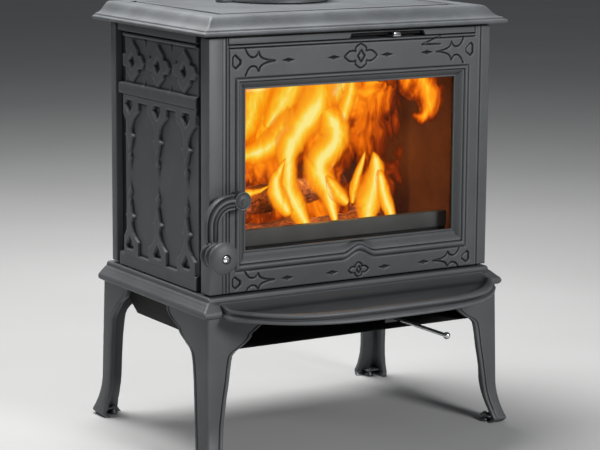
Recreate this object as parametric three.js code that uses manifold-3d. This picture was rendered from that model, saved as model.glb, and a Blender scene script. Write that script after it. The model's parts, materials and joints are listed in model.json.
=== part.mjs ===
// Small cast-iron wood burning stove on four splayed legs.
//
// Millimetres, +Z up. X runs to the right of a person facing the stove, Y runs from front to back.
// The stove is drawn with Y = 0 on the front face of the body, X = 0 on its middle plane and Z = 0 on
// the floor. The last lines move it so that the origin is under the middle of its bounding box.
//
// Every casting, plate, pin, bolt and rope seal is a mesh of its own. Neighbours that touch in the
// real stove are drawn with a gap of 0.3 mm.

import * as THREE from "three";
import { mergeVertices } from "three/addons/utils/BufferGeometryUtils.js";
import Module from "manifold-3d";

const wasm = await Module();
wasm.setup();

// ---------------------------------------------------------------- driving dimensions

const GAP = 0.3;

// Body box: half width, depth, height of its bottom and top edges.
const BODY_HALF = 255;
const BODY_DEPTH = 323;
const BODY_LOW = 260;
const BODY_HIGH = 647.6;

// Base plate.
const BASE_TOP = 256;
const BASE_LOW = 226.5;
const BASE_CAVITY = 243;

// Top plate.
const TOP_LOW = 647.9;
const TOP_HIGH = 676;
const TOP_REAR = 347;

// Legs: outer corners under the base, how far the feet stand outside them, and the share of that which is
// the lean of the whole leg. The hoof is the height where the foot is widest.
const LEG_X = 266.6;
const LEG_FRONT = -13.7;
const LEG_REAR = 332;
const LEG_WALL = 8;
const LEG_TOP = 226.2;
const FOOT_OUT_X = 12.4;
const FOOT_OUT_FRONT = 23.5;
const FOOT_OUT_REAR = 22.7;
const LEAN_X = 3.5;
const LEAN_Y = 7;
const HOOF = 8;

// Door slab and its window.
const DOOR_LEFT = -226.5;
const DOOR_RIGHT = 254.5;
const DOOR_LOW = 259.4;
const DOOR_HIGH = 644.4;
const DOOR_THICK = 20;
const NOTCH_LEFT = -222.5;
const NOTCH_RIGHT = 225.5;
const NOTCH_LOW = 632.6;
const WINDOW_LEFT = -187.6;
const WINDOW_RIGHT = 192;
const WINDOW_LOW = 321;
const WINDOW_HIGH = 565;
const MOULD_LEFT = -210;
const MOULD_RIGHT = 214.3;
const MOULD_LOW = 293;
const MOULD_HIGH = 583.6;
const GLASS_FRONT = 12.3;
const GLASS_THICK = 4;

// Hinge line of the door.
const HINGE_X = 247;
const HINGE_Y = 10;
const PIN_RADIUS = 4;
const PIN_HOLE = 4.7;

// Handle pivot, on the left border of the door.
const PIVOT_X = -211;
const PIVOT_Z = 402.9;
const KNOB_X = -263;
const KNOB_Y = -57;
const KNOB_Z = 327;
const KNOB_RADIUS = 24;

// Air lever slot in the top rail.
const SLOT_LEFT = -11;
const SLOT_RIGHT = 130;
const LEVER_X = 71;

// Pull rod of the lower air damper.
const ROD_X = 78;
const ROD_Z = 189.4;
const ROD_RADIUS = 3;
const BALL_Y = -144;
const BALL_RADIUS = 5.6;

// Flue collar.
const FLUE_Y = 241;
const FLUE_INNER = 76;
const FLUE_OUTER = 85;
const FLUE_HIGH = 708;

// ---------------------------------------------------------------- materials

function paint(color, roughness, metalness) {
  return new THREE.MeshStandardMaterial({ color, roughness, metalness });
}

const castIron = paint(0x4c5054, 0.62, 0.35);
const burntIron = paint(0x3a3431, 0.85, 0.2);
const brightSteel = paint(0xc4c6c8, 0.25, 1.0);
const darkSteel = paint(0x3c3f42, 0.45, 0.8);
const zincSheet = paint(0x4a4d50, 0.5, 0.7);
const ropeSeal = paint(0x25262a, 0.95, 0.0);
const glassPane = paint(0xd8e2e6, 0.05, 0.0);
const brownPlate = paint(0x6d5a49, 0.9, 0.0);
const bark = paint(0x4b382b, 0.9, 0.0);

// ---------------------------------------------------------------- solids

// A closed solid made from any closed three.js geometry.
function solid(geometry) {
  const bare = geometry.clone();
  bare.deleteAttribute("normal");
  bare.deleteAttribute("uv");
  const merged = mergeVertices(bare, 1e-4);
  const points = new Float32Array(merged.attributes.position.array);
  const corners = new Uint32Array(merged.index.array);
  if (signedVolume(points, corners) < 0) {
    for (let i = 0; i < corners.length; i += 3) {
      const first = corners[i];
      corners[i] = corners[i + 1];
      corners[i + 1] = first;
    }
  }
  return new wasm.Manifold(new wasm.Mesh({ numProp: 3, vertProperties: points, triVerts: corners }));
}

function signedVolume(points, corners) {
  const a = new THREE.Vector3();
  const b = new THREE.Vector3();
  const c = new THREE.Vector3();
  let six = 0;
  for (let i = 0; i < corners.length; i += 3) {
    a.fromArray(points, corners[i] * 3);
    b.fromArray(points, corners[i + 1] * 3);
    c.fromArray(points, corners[i + 2] * 3);
    six += a.dot(b.cross(c));
  }
  return six;
}

function union(first, ...others) {
  return others.reduce((sum, next) => sum.add(next), first);
}

function cut(first, ...others) {
  return others.reduce((sum, next) => sum.subtract(next), first);
}

function box(x0, x1, y0, y1, z0, z1) {
  const geometry = new THREE.BoxGeometry(x1 - x0, y1 - y0, z1 - z0);
  geometry.translate((x0 + x1) / 2, (y0 + y1) / 2, (z0 + z1) / 2);
  return solid(geometry);
}

function outline(points) {
  return new THREE.Shape(points.map(([u, v]) => new THREE.Vector2(u, v)));
}

function extrude(shape, depth, curveSegments = 12) {
  return new THREE.ExtrudeGeometry(shape, { depth, bevelEnabled: false, curveSegments });
}

// A shape drawn in (x, y), running from z0 to z1.
function prismZ(shape, z0, z1, curveSegments) {
  const geometry = extrude(shape, z1 - z0, curveSegments);
  geometry.translate(0, 0, z0);
  return solid(geometry);
}

// A shape drawn in (x, z), running from y0 to y1.
function prismY(shape, y0, y1, curveSegments) {
  const geometry = extrude(shape, y1 - y0, curveSegments);
  geometry.rotateX(Math.PI / 2);
  geometry.translate(0, y1, 0);
  return solid(geometry);
}

// A shape drawn in (y, z), running from x0 to x1.
function prismX(shape, x0, x1, curveSegments) {
  const geometry = extrude(shape, x1 - x0, curveSegments);
  const turn = new THREE.Matrix4().makeBasis(
    new THREE.Vector3(0, 1, 0),
    new THREE.Vector3(0, 0, 1),
    new THREE.Vector3(1, 0, 0)
  );
  geometry.applyMatrix4(turn);
  geometry.translate(x0, 0, 0);
  return solid(geometry);
}

// A turned solid on a vertical axis. The profile is a list of [radius, z].
function turnedZ(profile, x, y, segments = 24) {
  const points = profile.map(([r, z]) => new THREE.Vector2(r, z));
  const geometry = new THREE.LatheGeometry(points, segments);
  geometry.rotateX(Math.PI / 2);
  geometry.translate(x, y, 0);
  return solid(geometry);
}

// A turned solid on an axis that runs front to back. The profile is a list of [radius, y].
function turnedY(profile, x, z, segments = 24) {
  const points = profile.map(([r, y]) => new THREE.Vector2(r, y));
  const geometry = new THREE.LatheGeometry(points, segments);
  geometry.translate(x, 0, z);
  return solid(geometry);
}

function rodZ(radius, x, y, z0, z1, segments = 16) {
  return turnedZ([[0, z0], [radius, z0], [radius, z1], [0, z1]], x, y, segments);
}

function rodY(radius, x, z, y0, y1, segments = 16) {
  return turnedY([[0, y0], [radius, y0], [radius, y1], [0, y1]], x, z, segments);
}

// ---------------------------------------------------------------- the group of named meshes

const stove = new THREE.Group();

function place(name, shape, material) {
  const mesh = shape.getMesh();
  const geometry = new THREE.BufferGeometry();
  geometry.setAttribute("position", new THREE.Float32BufferAttribute(mesh.vertProperties, 3));
  geometry.setIndex(Array.from(mesh.triVerts));
  geometry.computeVertexNormals();
  const part = new THREE.Mesh(geometry, material);
  part.name = name;
  stove.add(part);
}

// A moulded slab: one edge profile, as [distance outside the body face, z], runs along the front and
// both sides with mitred corners. The back edge is straight.
function mouldedSlab(edge, rearY) {
  const right = edge.map(([out, z]) => [BODY_HALF + out, z]);
  const left = edge.map(([out, z]) => [-BODY_HALF - out, z]).reverse();
  const front = edge.map(([out, z]) => [-out, z]).reverse();
  const across = prismY(outline([...right, ...left]), -60, rearY);
  const top = edge[edge.length - 1][1];
  const low = edge[0][1];
  const along = prismX(outline([[rearY, low], [rearY, top], ...front]), -BODY_HALF - 60, BODY_HALF + 60);
  return across.intersect(along);
}

// ---------------------------------------------------------------- top plate and flue collar

const topEdge = [
  [8, TOP_LOW], [16.4, TOP_LOW], [19.6, 649.6], [20.7, 651.8], [18.6, 654], [15.8, 654.8],
  [14.4, 657.6], [9, 658.4], [4.5, 662.6], [2, 668], [-0.6, 670.2], [-4.5, 670.9],
  [-7.6, 672.6], [-10.3, TOP_HIGH],
];
const topSlab = mouldedSlab(topEdge, TOP_REAR);
const topHollow = box(-243, 243, 12, 320, TOP_LOW - 1, 663);
const flueHole = rodZ(72, 0, FLUE_Y, 650, 690, 48);
const topField = cut(
  box(-216, 216, 38, 330, TOP_HIGH - 1.2, TOP_HIGH + 1),
  box(-212.5, 212.5, 41.5, 326.5, TOP_HIGH - 2, TOP_HIGH + 2)
);
const collarBoltX = 97;
const collarBoltHoles = [-1, 1].map((side) => rodZ(3.4, side * collarBoltX, FLUE_Y, 664, 690, 12));
place("top_plate", cut(topSlab, topHollow, flueHole, topField, ...collarBoltHoles), castIron);

const collarRing = turnedZ(
  [
    [FLUE_INNER - 4, TOP_HIGH + GAP], [FLUE_OUTER, TOP_HIGH + GAP], [FLUE_OUTER, TOP_HIGH + 5],
    [FLUE_OUTER - 2, TOP_HIGH + 8], [FLUE_OUTER - 2, FLUE_HIGH - 6], [FLUE_OUTER, FLUE_HIGH - 4],
    [FLUE_OUTER, FLUE_HIGH], [FLUE_INNER, FLUE_HIGH], [FLUE_INNER, TOP_HIGH + 8],
    [FLUE_INNER - 4, TOP_HIGH + 8], [FLUE_INNER - 4, TOP_HIGH + GAP],
  ],
  0, FLUE_Y, 48
);
function collarLug(side) {
  const lug = new THREE.Shape();
  lug.absarc(side * collarBoltX, FLUE_Y, 11, 0, Math.PI * 2, false);
  const round = prismZ(lug, TOP_HIGH + GAP, TOP_HIGH + 6, 6);
  const neck = box(
    Math.min(side * 80, side * collarBoltX), Math.max(side * 80, side * collarBoltX),
    FLUE_Y - 11, FLUE_Y + 11, TOP_HIGH + GAP, TOP_HIGH + 6
  );
  const hole = rodZ(3.4, side * collarBoltX, FLUE_Y, TOP_HIGH - 2, TOP_HIGH + 10, 12);
  return union(round, neck).subtract(hole);
}
place("flue_collar", union(collarRing, collarLug(-1), collarLug(1)), castIron);

function hexPrism(x, y, z0, z1, across) {
  const corners = [];
  for (let i = 0; i < 6; i += 1) {
    const angle = (i * Math.PI) / 3;
    const radius = across / Math.sqrt(3);
    corners.push([x + radius * Math.cos(angle), y + radius * Math.sin(angle)]);
  }
  return prismZ(outline(corners), z0, z1);
}

for (const [name, side] of [["collar_bolt_left", -1], ["collar_bolt_right", 1]]) {
  const x = side * collarBoltX;
  const head = hexPrism(x, FLUE_Y, TOP_HIGH + 6 + GAP, TOP_HIGH + 11, 10);
  const shank = rodZ(3, x, FLUE_Y, 665, TOP_HIGH + 7, 12);
  place(name, union(head, shank), darkSteel);
}

// ---------------------------------------------------------------- base plate and ash lip

const baseEdge = [
  [8, BASE_LOW], [13, BASE_LOW], [16.5, 227.4], [19.2, 230], [19.6, 233.6], [17.6, 237.4],
  [13, 239.8], [11, 242.2], [9.6, 244.2], [8, 246.8], [4.2, 248.6], [3.6, 254.2], [1.4, BASE_TOP],
];
const LIP_HALF = 243.2;
const LIP_BACK = -9;
const LIP_TOP = 247;
const baseSlab = mouldedSlab(baseEdge, BODY_DEPTH + 12);
const baseHollow = box(-244, 244, 2, 312, BASE_LOW - 1, BASE_CAVITY);
const lipSeat = box(-LIP_HALF - 0.3, LIP_HALF + 0.3, -60, LIP_BACK + GAP, BASE_LOW - 1, LIP_TOP + 1.2);
const plinth = box(-246, 246, 26, 316, BASE_TOP - 1, BODY_LOW - GAP);
const AIR_HOLE = [ROD_X - 34, ROD_X + 34, 80, 140];
const airHole = box(AIR_HOLE[0], AIR_HOLE[1], AIR_HOLE[2], AIR_HOLE[3], 230, 270);
const lowerPinHole = rodZ(PIN_HOLE, HINGE_X, HINGE_Y, 247, BASE_TOP + 2, 16);
const legBolts = [
  ["front_left", -222, 27], ["front_right", 222, 27], ["rear_left", -222, 289], ["rear_right", 222, 289],
];
const legBoltHoles = legBolts.map(([, x, y]) => rodZ(4.5, x, y, 240, 254.3, 12));
// Two angle rails under the plate carry the sliding damper.
function damperRail(side) {
  const inner = ROD_X + side * 44.6;
  const outer = ROD_X + side * 50;
  const web = box(Math.min(inner, outer), Math.max(inner, outer), 12, 150, 231, BASE_CAVITY + 1);
  const toe = ROD_X + side * 40;
  const foot = box(Math.min(toe, outer), Math.max(toe, outer), 12, 150, 231, 234);
  return union(web, foot);
}
place(
  "base_plate",
  cut(
    union(baseSlab.subtract(baseHollow), plinth, damperRail(-1), damperRail(1)),
    lipSeat, airHole, lowerPinHole, ...legBoltHoles
  ),
  castIron
);

// Outline of the bowed ash lip. The bow is a curve of half width `half` that starts at `start` and reaches
// forward by `reach`; `power` says how square its shoulders are. Its sides are cut straight at `cut`.
function bow(cut, half, start, reach, power, back) {
  const points = [];
  const steps = 28;
  for (let i = 0; i <= steps; i += 1) {
    const x = -cut * Math.cos((i * Math.PI) / steps);
    const forward = 1 - Math.pow(Math.abs(x) / half, power);
    points.push([x, start - reach * forward]);
  }
  points.push([cut, back]);
  points.push([-cut, back]);
  return outline(points);
}
const lipLower = prismZ(bow(LIP_HALF, 256, -27, 118, 3.3, LIP_BACK), BASE_LOW, 232.5);
const lipGroove = prismZ(bow(LIP_HALF - 4, 243, -22, 104, 5, LIP_BACK), 232.5, 237.5);
const lipUpper = prismZ(bow(LIP_HALF - 2, 248, -23, 107, 4.6, LIP_BACK), 237.5, 242.5);
const lipRear = box(-LIP_HALF + 2, LIP_HALF - 2, -26, LIP_BACK, 240, LIP_TOP);
const lipHollow = prismZ(bow(236.5, 241, -21, 95, 4.3, LIP_BACK - 8), 231, LIP_TOP + 5);
place("ash_lip", union(lipLower, lipGroove, lipUpper, lipRear).subtract(lipHollow), castIron);

// ---------------------------------------------------------------- legs

// Widths of the two walls of a leg by height: [z, front or rear wall, side wall].
const frontLegWidths = [
  [0, 27, 36], [22, 26, 38], [60, 28, 40], [130, 38, 43], [156, 41, 46], [172, 46, 53],
  [178, 54, 60], [184, 64, 72], [190, 74, 86], [199, 80, 92], [205, 86, 104], [211, 97, 120],
  [218, 99, 126], [LEG_TOP, 100, 130],
];
const rearLegWidths = [
  [0, 33, 33], [22, 33, 31], [60, 33, 29], [130, 34.5, 31], [156, 36.5, 33], [172, 40, 36.5],
  [178, 45, 41], [184, 53, 46], [190, 62, 51], [199, 70, 58], [205, 80, 67], [211, 88, 77],
  [218, 92, 81], [LEG_TOP, 94, 84],
];

function widthAt(table, z, column) {
  for (let i = 1; i < table.length; i += 1) {
    const [z0] = table[i - 1];
    const [z1] = table[i];
    if (z <= z1) {
      const t = (z - z0) / (z1 - z0);
      return table[i - 1][column] * (1 - t) + table[i][column] * t;
    }
  }
  return table[table.length - 1][column];
}

// How far the leg stands outside its upper corner at height z: its lean, and the flare of its foot, which
// is widest at the top of the hoof and draws in again below it.
function standOut(z, footOut, lean) {
  const flareOut = footOut - lean * (1 - HOOF / LEG_TOP);
  const rise = Math.max(0, 1 - (z - HOOF) / 60);
  const share = z < HOOF ? 0.5 + (0.5 * z) / HOOF : rise * rise;
  return lean * (1 - z / LEG_TOP) + flareOut * share;
}

// An L section, its outer corner at the corner of the leg, swept up the leg.
function legCasting(sideX, cornerY, insideY, widths, footOutY) {
  const levels = [0, HOOF, 14, 24, 36, 50, 68, ...widths.map(([z]) => z).filter((z) => z > 68)];
  const section = outline([[0, 0], [2, 0], [2, 1], [1, 1], [1, 2], [0, 2]]);
  const geometry = new THREE.ExtrudeGeometry(section, {
    depth: levels.length - 1, steps: levels.length - 1, bevelEnabled: false,
  });
  const position = geometry.attributes.position;
  for (let i = 0; i < position.count; i += 1) {
    const z = levels[Math.round(position.getZ(i))];
    const along = [0, LEG_WALL, widthAt(widths, z, 1)][Math.round(position.getX(i))];
    const back = [0, LEG_WALL, widthAt(widths, z, 2)][Math.round(position.getY(i))];
    const x = sideX * (LEG_X + standOut(z, FOOT_OUT_X, LEAN_X) - along);
    const y = cornerY + insideY * (back - standOut(z, footOutY, LEAN_Y));
    position.setXYZ(i, x, y, z);
  }
  return solid(geometry);
}

function spanBox(xa, xb, ya, yb, z0, z1) {
  return box(Math.min(xa, xb), Math.max(xa, xb), Math.min(ya, yb), Math.max(ya, yb), z0, z1);
}

const levellers = [];
for (const [name, boltX, boltY] of legBolts) {
  const sideX = Math.sign(boltX);
  const isFront = boltY < 100;
  const cornerY = isFront ? LEG_FRONT : LEG_REAR;
  const insideY = isFront ? 1 : -1;
  const widths = isFront ? frontLegWidths : rearLegWidths;
  const footOutY = isFront ? FOOT_OUT_FRONT : FOOT_OUT_REAR;
  const walls = legCasting(sideX, cornerY, insideY, widths, footOutY);
  const shelf = spanBox(
    sideX * (LEG_X - 2), sideX * 204, cornerY + insideY * 2, cornerY + insideY * 64, 218, LEG_TOP
  );
  const riser = spanBox(
    sideX * 243, sideX * 204, boltY - insideY * 22, boltY + insideY * 22, LEG_TOP - 1, BASE_CAVITY - GAP
  );
  const hole = rodZ(4.5, boltX, boltY, 210, 250, 12);
  const padX = sideX * (LEG_X + 1 - 16);
  const padY = cornerY + insideY * (isFront ? 2 : 1);
  const pad = spanBox(
    sideX * (LEG_X + 6), padX - sideX * 5, cornerY - insideY * 15.8, padY + insideY * 7, 8, 14
  );
  const boss = rodZ(7.6, padX, padY, 8, 17, 12);
  const tapped = rodZ(4.4, padX, padY, 0, 30, 12);
  place(`leg_${name}`, cut(union(walls, shelf, riser, pad, boss), hole, tapped), castIron);
  levellers.push([`levelling_bolt_${name}`, padX, padY]);
  const bolt = union(hexPrism(boltX, boltY, 211, 218 - GAP, 13), rodZ(4, boltX, boltY, 216, 254, 12));
  place(`leg_bolt_${name}`, bolt, darkSteel);
}
for (const [name, x, y] of levellers) {
  const head = turnedZ([[0, 0], [6.5, 0], [7.5, 1], [7.5, 5], [0, 5]], x, y, 12);
  place(name, union(head, rodZ(4, x, y, 4, 27, 12)), darkSteel);
}

// ---------------------------------------------------------------- heat shield under the base

place("bottom_heat_shield", box(-222, 222, 0, 300, 172, 173.6), zincSheet);
for (const [name, side] of [["shield_bracket_left", -1], ["shield_bracket_right", 1]]) {
  const web = spanBox(side * 160, side * 163, 70, 230, 173.6 + GAP, BASE_CAVITY - GAP);
  const lower = spanBox(side * 163, side * 142, 70, 230, 173.6 + GAP, 176.5);
  const upper = spanBox(side * 160, side * 184, 70, 230, BASE_CAVITY - 3, BASE_CAVITY - GAP);
  place(name, union(web, lower, upper), zincSheet);
}

// ---------------------------------------------------------------- lower air damper and its pull rod

const DAMPER_Z = 234.4;
const damperPlate = box(ROD_X - 44, ROD_X + 44, 76, 144, DAMPER_Z, DAMPER_Z + 3.4);
const damperArm = box(ROD_X - 8, ROD_X + 8, 100, 104, ROD_Z - 8, DAMPER_Z + 1);
place("primary_air_damper", union(damperPlate, damperArm), darkSteel);
const rodEnd = 100 - GAP;
place("pull_rod", rodY(ROD_RADIUS, ROD_X, ROD_Z, BALL_Y + 5.3, rodEnd, 12), brightSteel);
const ballProfile = [];
for (let i = 0; i <= 12; i += 1) {
  const angle = -Math.PI / 2 + (i * Math.PI) / 12;
  const flat = Math.min(BALL_RADIUS * Math.sin(angle), 5);
  ballProfile.push([i === 0 || i === 12 ? 0 : BALL_RADIUS * Math.cos(angle), BALL_Y + flat]);
}
place("rod_ball", turnedY(ballProfile, ROD_X, ROD_Z, 16), brightSteel);
const guideWeb = box(ROD_X - 12, ROD_X + 12, 6, 9, ROD_Z - 9, BASE_CAVITY - GAP);
const guideFlange = box(ROD_X - 12, ROD_X + 12, 2.5, 9, BASE_CAVITY - 3, BASE_CAVITY - GAP);
const guideHole = rodY(ROD_RADIUS + 0.6, ROD_X, ROD_Z, 0, 20, 12);
place("rod_guide", union(guideWeb, guideFlange).subtract(guideHole), darkSteel);

// ---------------------------------------------------------------- body castings

const FRAME_BACK = 34;
const FRAME_FRONT = 26;
const frameSheet = box(-BODY_HALF, BODY_HALF, FRAME_FRONT, FRAME_BACK, BODY_LOW, BODY_HIGH);
const mouth = box(-191, 210, 0, 60, 292, 597);
// The latch passes through a pocket outside the line of the rope seal.
const latchPocket = box(-225.6, -204.5, 0, 60, PIVOT_Z - 26, PIVOT_Z + 26);
const leftStile = box(-BODY_HALF, -227.6, 0, FRAME_FRONT + 1, BODY_LOW, BODY_HIGH);
const topBand = box(-228, BODY_HALF, 0, FRAME_FRONT + 1, 645.2, BODY_HIGH);
const topStrip = box(-221.5, 224, 0, 8, 634.6, 646);
const leverSlot = prismY(
  outline([[SLOT_LEFT, 634], [SLOT_RIGHT, 634], [SLOT_RIGHT - 4, 642], [SLOT_LEFT + 4, 642]]), -1, 9
);
const upperPinHole = rodZ(PIN_HOLE, HINGE_X, HINGE_Y, 640, BODY_HIGH + 5, 16);
const stileGroove = box(-233.4, -231.6, -1, 1.2, BODY_LOW - 1, 645.2);
place(
  "front_frame",
  cut(
    union(frameSheet, leftStile, topBand, topStrip),
    mouth, latchPocket, leverSlot, upperPinHole, stileGroove
  ),
  castIron
);

const SIDE_FRONT = FRAME_BACK + GAP;
const SIDE_REAR = 305;
for (const [name, side] of [["side_panel_left", -1], ["side_panel_right", 1]]) {
  const plate = spanBox(side * 243, side * 253, SIDE_FRONT, SIDE_REAR, BODY_LOW - 1.5, BODY_HIGH);
  const frieze = spanBox(side * 250.4, side * 256, SIDE_FRONT + 4, SIDE_REAR - 4, 551.5, 626);
  const field = spanBox(side * 250.4, side * 256, SIDE_FRONT + 4, SIDE_REAR - 4, 278, 534);
  const mullions = [];
  for (const y of [77, 173, 266]) {
    mullions.push(spanBox(side * 249, side * 252.4, y - 9, y + 9, 277, 535));
    mullions.push(spanBox(side * 249, side * 252.4, y - 26, y + 26, 562, 615));
  }
  const underfoot = spanBox(side * 246.3, side * 243, 0, 400, 200, BODY_LOW);
  place(name, cut(union(cut(plate, frieze, field), ...mullions), underfoot), castIron);
}

const rearWall = box(-BODY_HALF, BODY_HALF, SIDE_REAR + GAP, BODY_DEPTH, BODY_LOW, BODY_HIGH);
const rearRecess = box(-225, 225, BODY_DEPTH - 7, BODY_DEPTH + 5, 290, 620);
place("rear_frame", rearWall.subtract(rearRecess), castIron);

const shieldSheet = box(-200, 200, 333, 334.6, 300, 606);
const shieldFlanges = [-1, 1].map((side) => {
  const web = spanBox(side * 200, side * 198.4, BODY_DEPTH - 7 + GAP, 334, 300, 606);
  const foot = spanBox(side * 200, side * 216, BODY_DEPTH - 7 + GAP, BODY_DEPTH - 5.2, 300, 606);
  return union(web, foot);
});
place("rear_heat_shield", union(shieldSheet, ...shieldFlanges), zincSheet);

// ---------------------------------------------------------------- inside the firebox

const LINING_LOW = BODY_LOW + 2;
const LINING_HIGH = 560;
place("burn_plate_left", box(-236, -224, 54, 291, LINING_LOW, LINING_HIGH), brownPlate);
place("burn_plate_right", box(224, 236, 54, 291, LINING_LOW, LINING_HIGH), brownPlate);
place("burn_plate_rear", box(-236, 236, 291.3, 303, LINING_LOW, LINING_HIGH), brownPlate);
const baffle = prismX(outline([[118, 602], [118, 612], [300, 570.4], [300, 560.4]]), -234, 234);
place("baffle_plate", baffle, brownPlate);
const airwash = prismX(
  outline([[36, 574], [58, 574], [58, 577], [39, 577], [39, 640], [36, 640]]), -200, 214
);
place("airwash_deflector", airwash, burntIron);

const grateTop = 290;
const grateParts = [box(-214, 214, 62, 284, grateTop - 8, grateTop)];
for (const [x, y] of [[-204, 70], [204, 70], [-204, 276], [204, 276]]) {
  grateParts.push(box(x - 6, x + 6, y - 6, y + 6, BODY_LOW, grateTop - 4));
}
const grateSlots = [];
for (let i = 0; i < 8; i += 1) {
  const x = -154 + i * 44;
  grateSlots.push(box(x - 5, x + 5, 90, 256, grateTop - 10, grateTop + 2));
}
place("grate", cut(union(...grateParts), ...grateSlots), burntIron);

const guardBar = box(-200, 210, 46, 51, 296, 343);
const guardFeet = [-180, 190].map((x) => box(x - 10, x + 10, 46, 60, BODY_LOW, 300));
place("log_guard", union(guardBar, ...guardFeet), burntIron);

// Split logs lie on the grate. Each is a rough ten-sided billet.
function log(name, radius, length, x, y, z, turn, tilt) {
  const geometry = new THREE.CylinderGeometry(radius * 0.94, radius, length, 10);
  geometry.rotateZ(Math.PI / 2);
  geometry.rotateY(tilt);
  geometry.rotateZ(turn);
  geometry.translate(x, y, z);
  place(name, solid(geometry), bark);
}
log("firewood_log_front", 27, 300, -20, 106, grateTop + 28, 0.05, 0);
log("firewood_log_back", 30, 330, 10, 205, grateTop + 31, -0.08, 0);
log("firewood_log_top", 24, 280, -30, 155, grateTop + 86, 0.35, 0);

// ---------------------------------------------------------------- upper air slider

const sliderBlade = box(LEVER_X - 95, LEVER_X + 95, 10, 13, 636.4, 644.4);
const sliderNeck = box(LEVER_X - 3, LEVER_X + 3, -2, 11, 636.4, 640.4);
place("air_slider", union(sliderBlade, sliderNeck), darkSteel);
const airKnob = prismY(
  outline([
    [LEVER_X - 7, 634.8], [LEVER_X + 7, 634.8], [LEVER_X + 7, 639.4], [LEVER_X + 4.5, 642],
    [LEVER_X - 4.5, 642], [LEVER_X - 7, 639.4],
  ]),
  -9, -2 - GAP
);
place("air_knob", airKnob, castIron);

// ---------------------------------------------------------------- door

const doorSlab = box(DOOR_LEFT, DOOR_RIGHT, 0, DOOR_THICK, DOOR_LOW, DOOR_HIGH);
const doorNotch = box(NOTCH_LEFT, NOTCH_RIGHT, -1, DOOR_THICK + 1, NOTCH_LOW, DOOR_HIGH + 1);
const doorTopRelief = box(DOOR_LEFT - 1, 238, 9.5, DOOR_THICK + 1, NOTCH_LOW, DOOR_HIGH + 1);
const windowHole = box(WINDOW_LEFT, WINDOW_RIGHT, -1, DOOR_THICK + 1, WINDOW_LOW, WINDOW_HIGH);
const rebate = box(
  WINDOW_LEFT - 12, WINDOW_RIGHT + 12, GLASS_FRONT - GAP, DOOR_THICK + 1, WINDOW_LOW - 12, WINDOW_HIGH + 12
);
// The coved moulding round the window falls back from the outer line to the glass.
function rectangleShape(x0, x1, z0, z1) {
  return outline([[x0, z0], [x1, z0], [x1, z1], [x0, z1]]);
}
function taperedHole(outer, inner, depth) {
  const geometry = extrude(rectangleShape(0, 1, 0, 1), 1);
  const position = geometry.attributes.position;
  for (let i = 0; i < position.count; i += 1) {
    const deep = Math.round(position.getZ(i));
    const [x0, x1, z0, z1] = deep ? inner : outer;
    const x = Math.round(position.getX(i)) ? x1 : x0;
    const z = Math.round(position.getY(i)) ? z1 : z0;
    position.setXYZ(i, x, deep ? depth : -0.5, z);
  }
  return solid(geometry);
}
const cove = taperedHole(
  [MOULD_LEFT + 5, MOULD_RIGHT - 5, MOULD_LOW + 7, MOULD_HIGH - 5],
  [WINDOW_LEFT, WINDOW_RIGHT, WINDOW_LOW, WINDOW_HIGH],
  9.5
);
const mouldGroove = cut(
  box(MOULD_LEFT - 1.6, MOULD_RIGHT + 1.6, -1, 1.6, MOULD_LOW - 1.6, MOULD_HIGH + 1.6),
  box(MOULD_LEFT, MOULD_RIGHT, -2, 3, MOULD_LOW, MOULD_HIGH)
);
const lowerPinBore = rodZ(PIN_HOLE, HINGE_X, HINGE_Y, DOOR_LOW - 5, 277, 16);
const upperPinBore = rodZ(PIN_HOLE, HINGE_X, HINGE_Y, 627, DOOR_HIGH + 5, 16);
const shaftBore = rodY(5.9, PIVOT_X, PIVOT_Z, -5, DOOR_THICK + 5, 16);
const stileLine = box(235.6, 237.2, -1, 1.4, DOOR_LOW - 1, DOOR_HIGH + 1);
function lozenge(x, z, halfWidth, halfHeight, depth) {
  return prismY(
    outline([[x - halfWidth, z], [x, z - halfHeight], [x + halfWidth, z], [x, z + halfHeight]]), -1, depth
  );
}
const doorRecesses = [];
for (const [z, columns] of [[606.8, [-118, -38, 10.5, 57, 117]], [277.5, [-118, -38, 57, 117]]]) {
  for (const x of columns) {
    doorRecesses.push(x === 10.5 ? lozenge(x, z, 6, 9, 3) : lozenge(x, z, 11, 3.2, 1.6));
  }
}
place(
  "door_frame",
  cut(
    doorSlab, doorNotch, doorTopRelief, windowHole, rebate, cove, mouldGroove,
    lowerPinBore, upperPinBore, shaftBore, stileLine, ...doorRecesses
  ),
  castIron
);

const GLASS = [WINDOW_LEFT - 11.4, WINDOW_RIGHT + 11.4, WINDOW_LOW - 11.4, WINDOW_HIGH + 11.4];
const glassRear = GLASS_FRONT + GLASS_THICK;
place("door_glass", box(GLASS[0], GLASS[1], GLASS_FRONT, glassRear, GLASS[2], GLASS[3]), glassPane);

function ring(x0, x1, z0, z1, width, y0, y1) {
  return cut(
    box(x0, x1, y0, y1, z0, z1),
    box(x0 + width, x1 - width, y0 - 1, y1 + 1, z0 + width, z1 - width)
  );
}
const sealBack = glassRear + GAP + 2.8;
place(
  "glass_seal",
  ring(GLASS[0], GLASS[1], GLASS[2], GLASS[3], 9, glassRear + GAP, sealBack),
  ropeSeal
);
place(
  "door_rope_seal",
  ring(-202, 221, 281, 608, 7, DOOR_THICK + GAP, FRAME_FRONT - GAP - 0.2),
  ropeSeal
);

// Four clips hold the glass in its rebate, two above and two below.
for (const [name, x, low] of [
  ["glass_clip_upper_left", -110, false], ["glass_clip_upper_right", 115, false],
  ["glass_clip_lower_left", -110, true], ["glass_clip_lower_right", 115, true],
]) {
  const edge = low ? GLASS[2] : GLASS[3];
  const z0 = low ? edge - 13 : edge - 8;
  place(name, box(x - 16, x + 16, DOOR_THICK + GAP, DOOR_THICK + 2.3, z0, z0 + 21), darkSteel);
}

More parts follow.
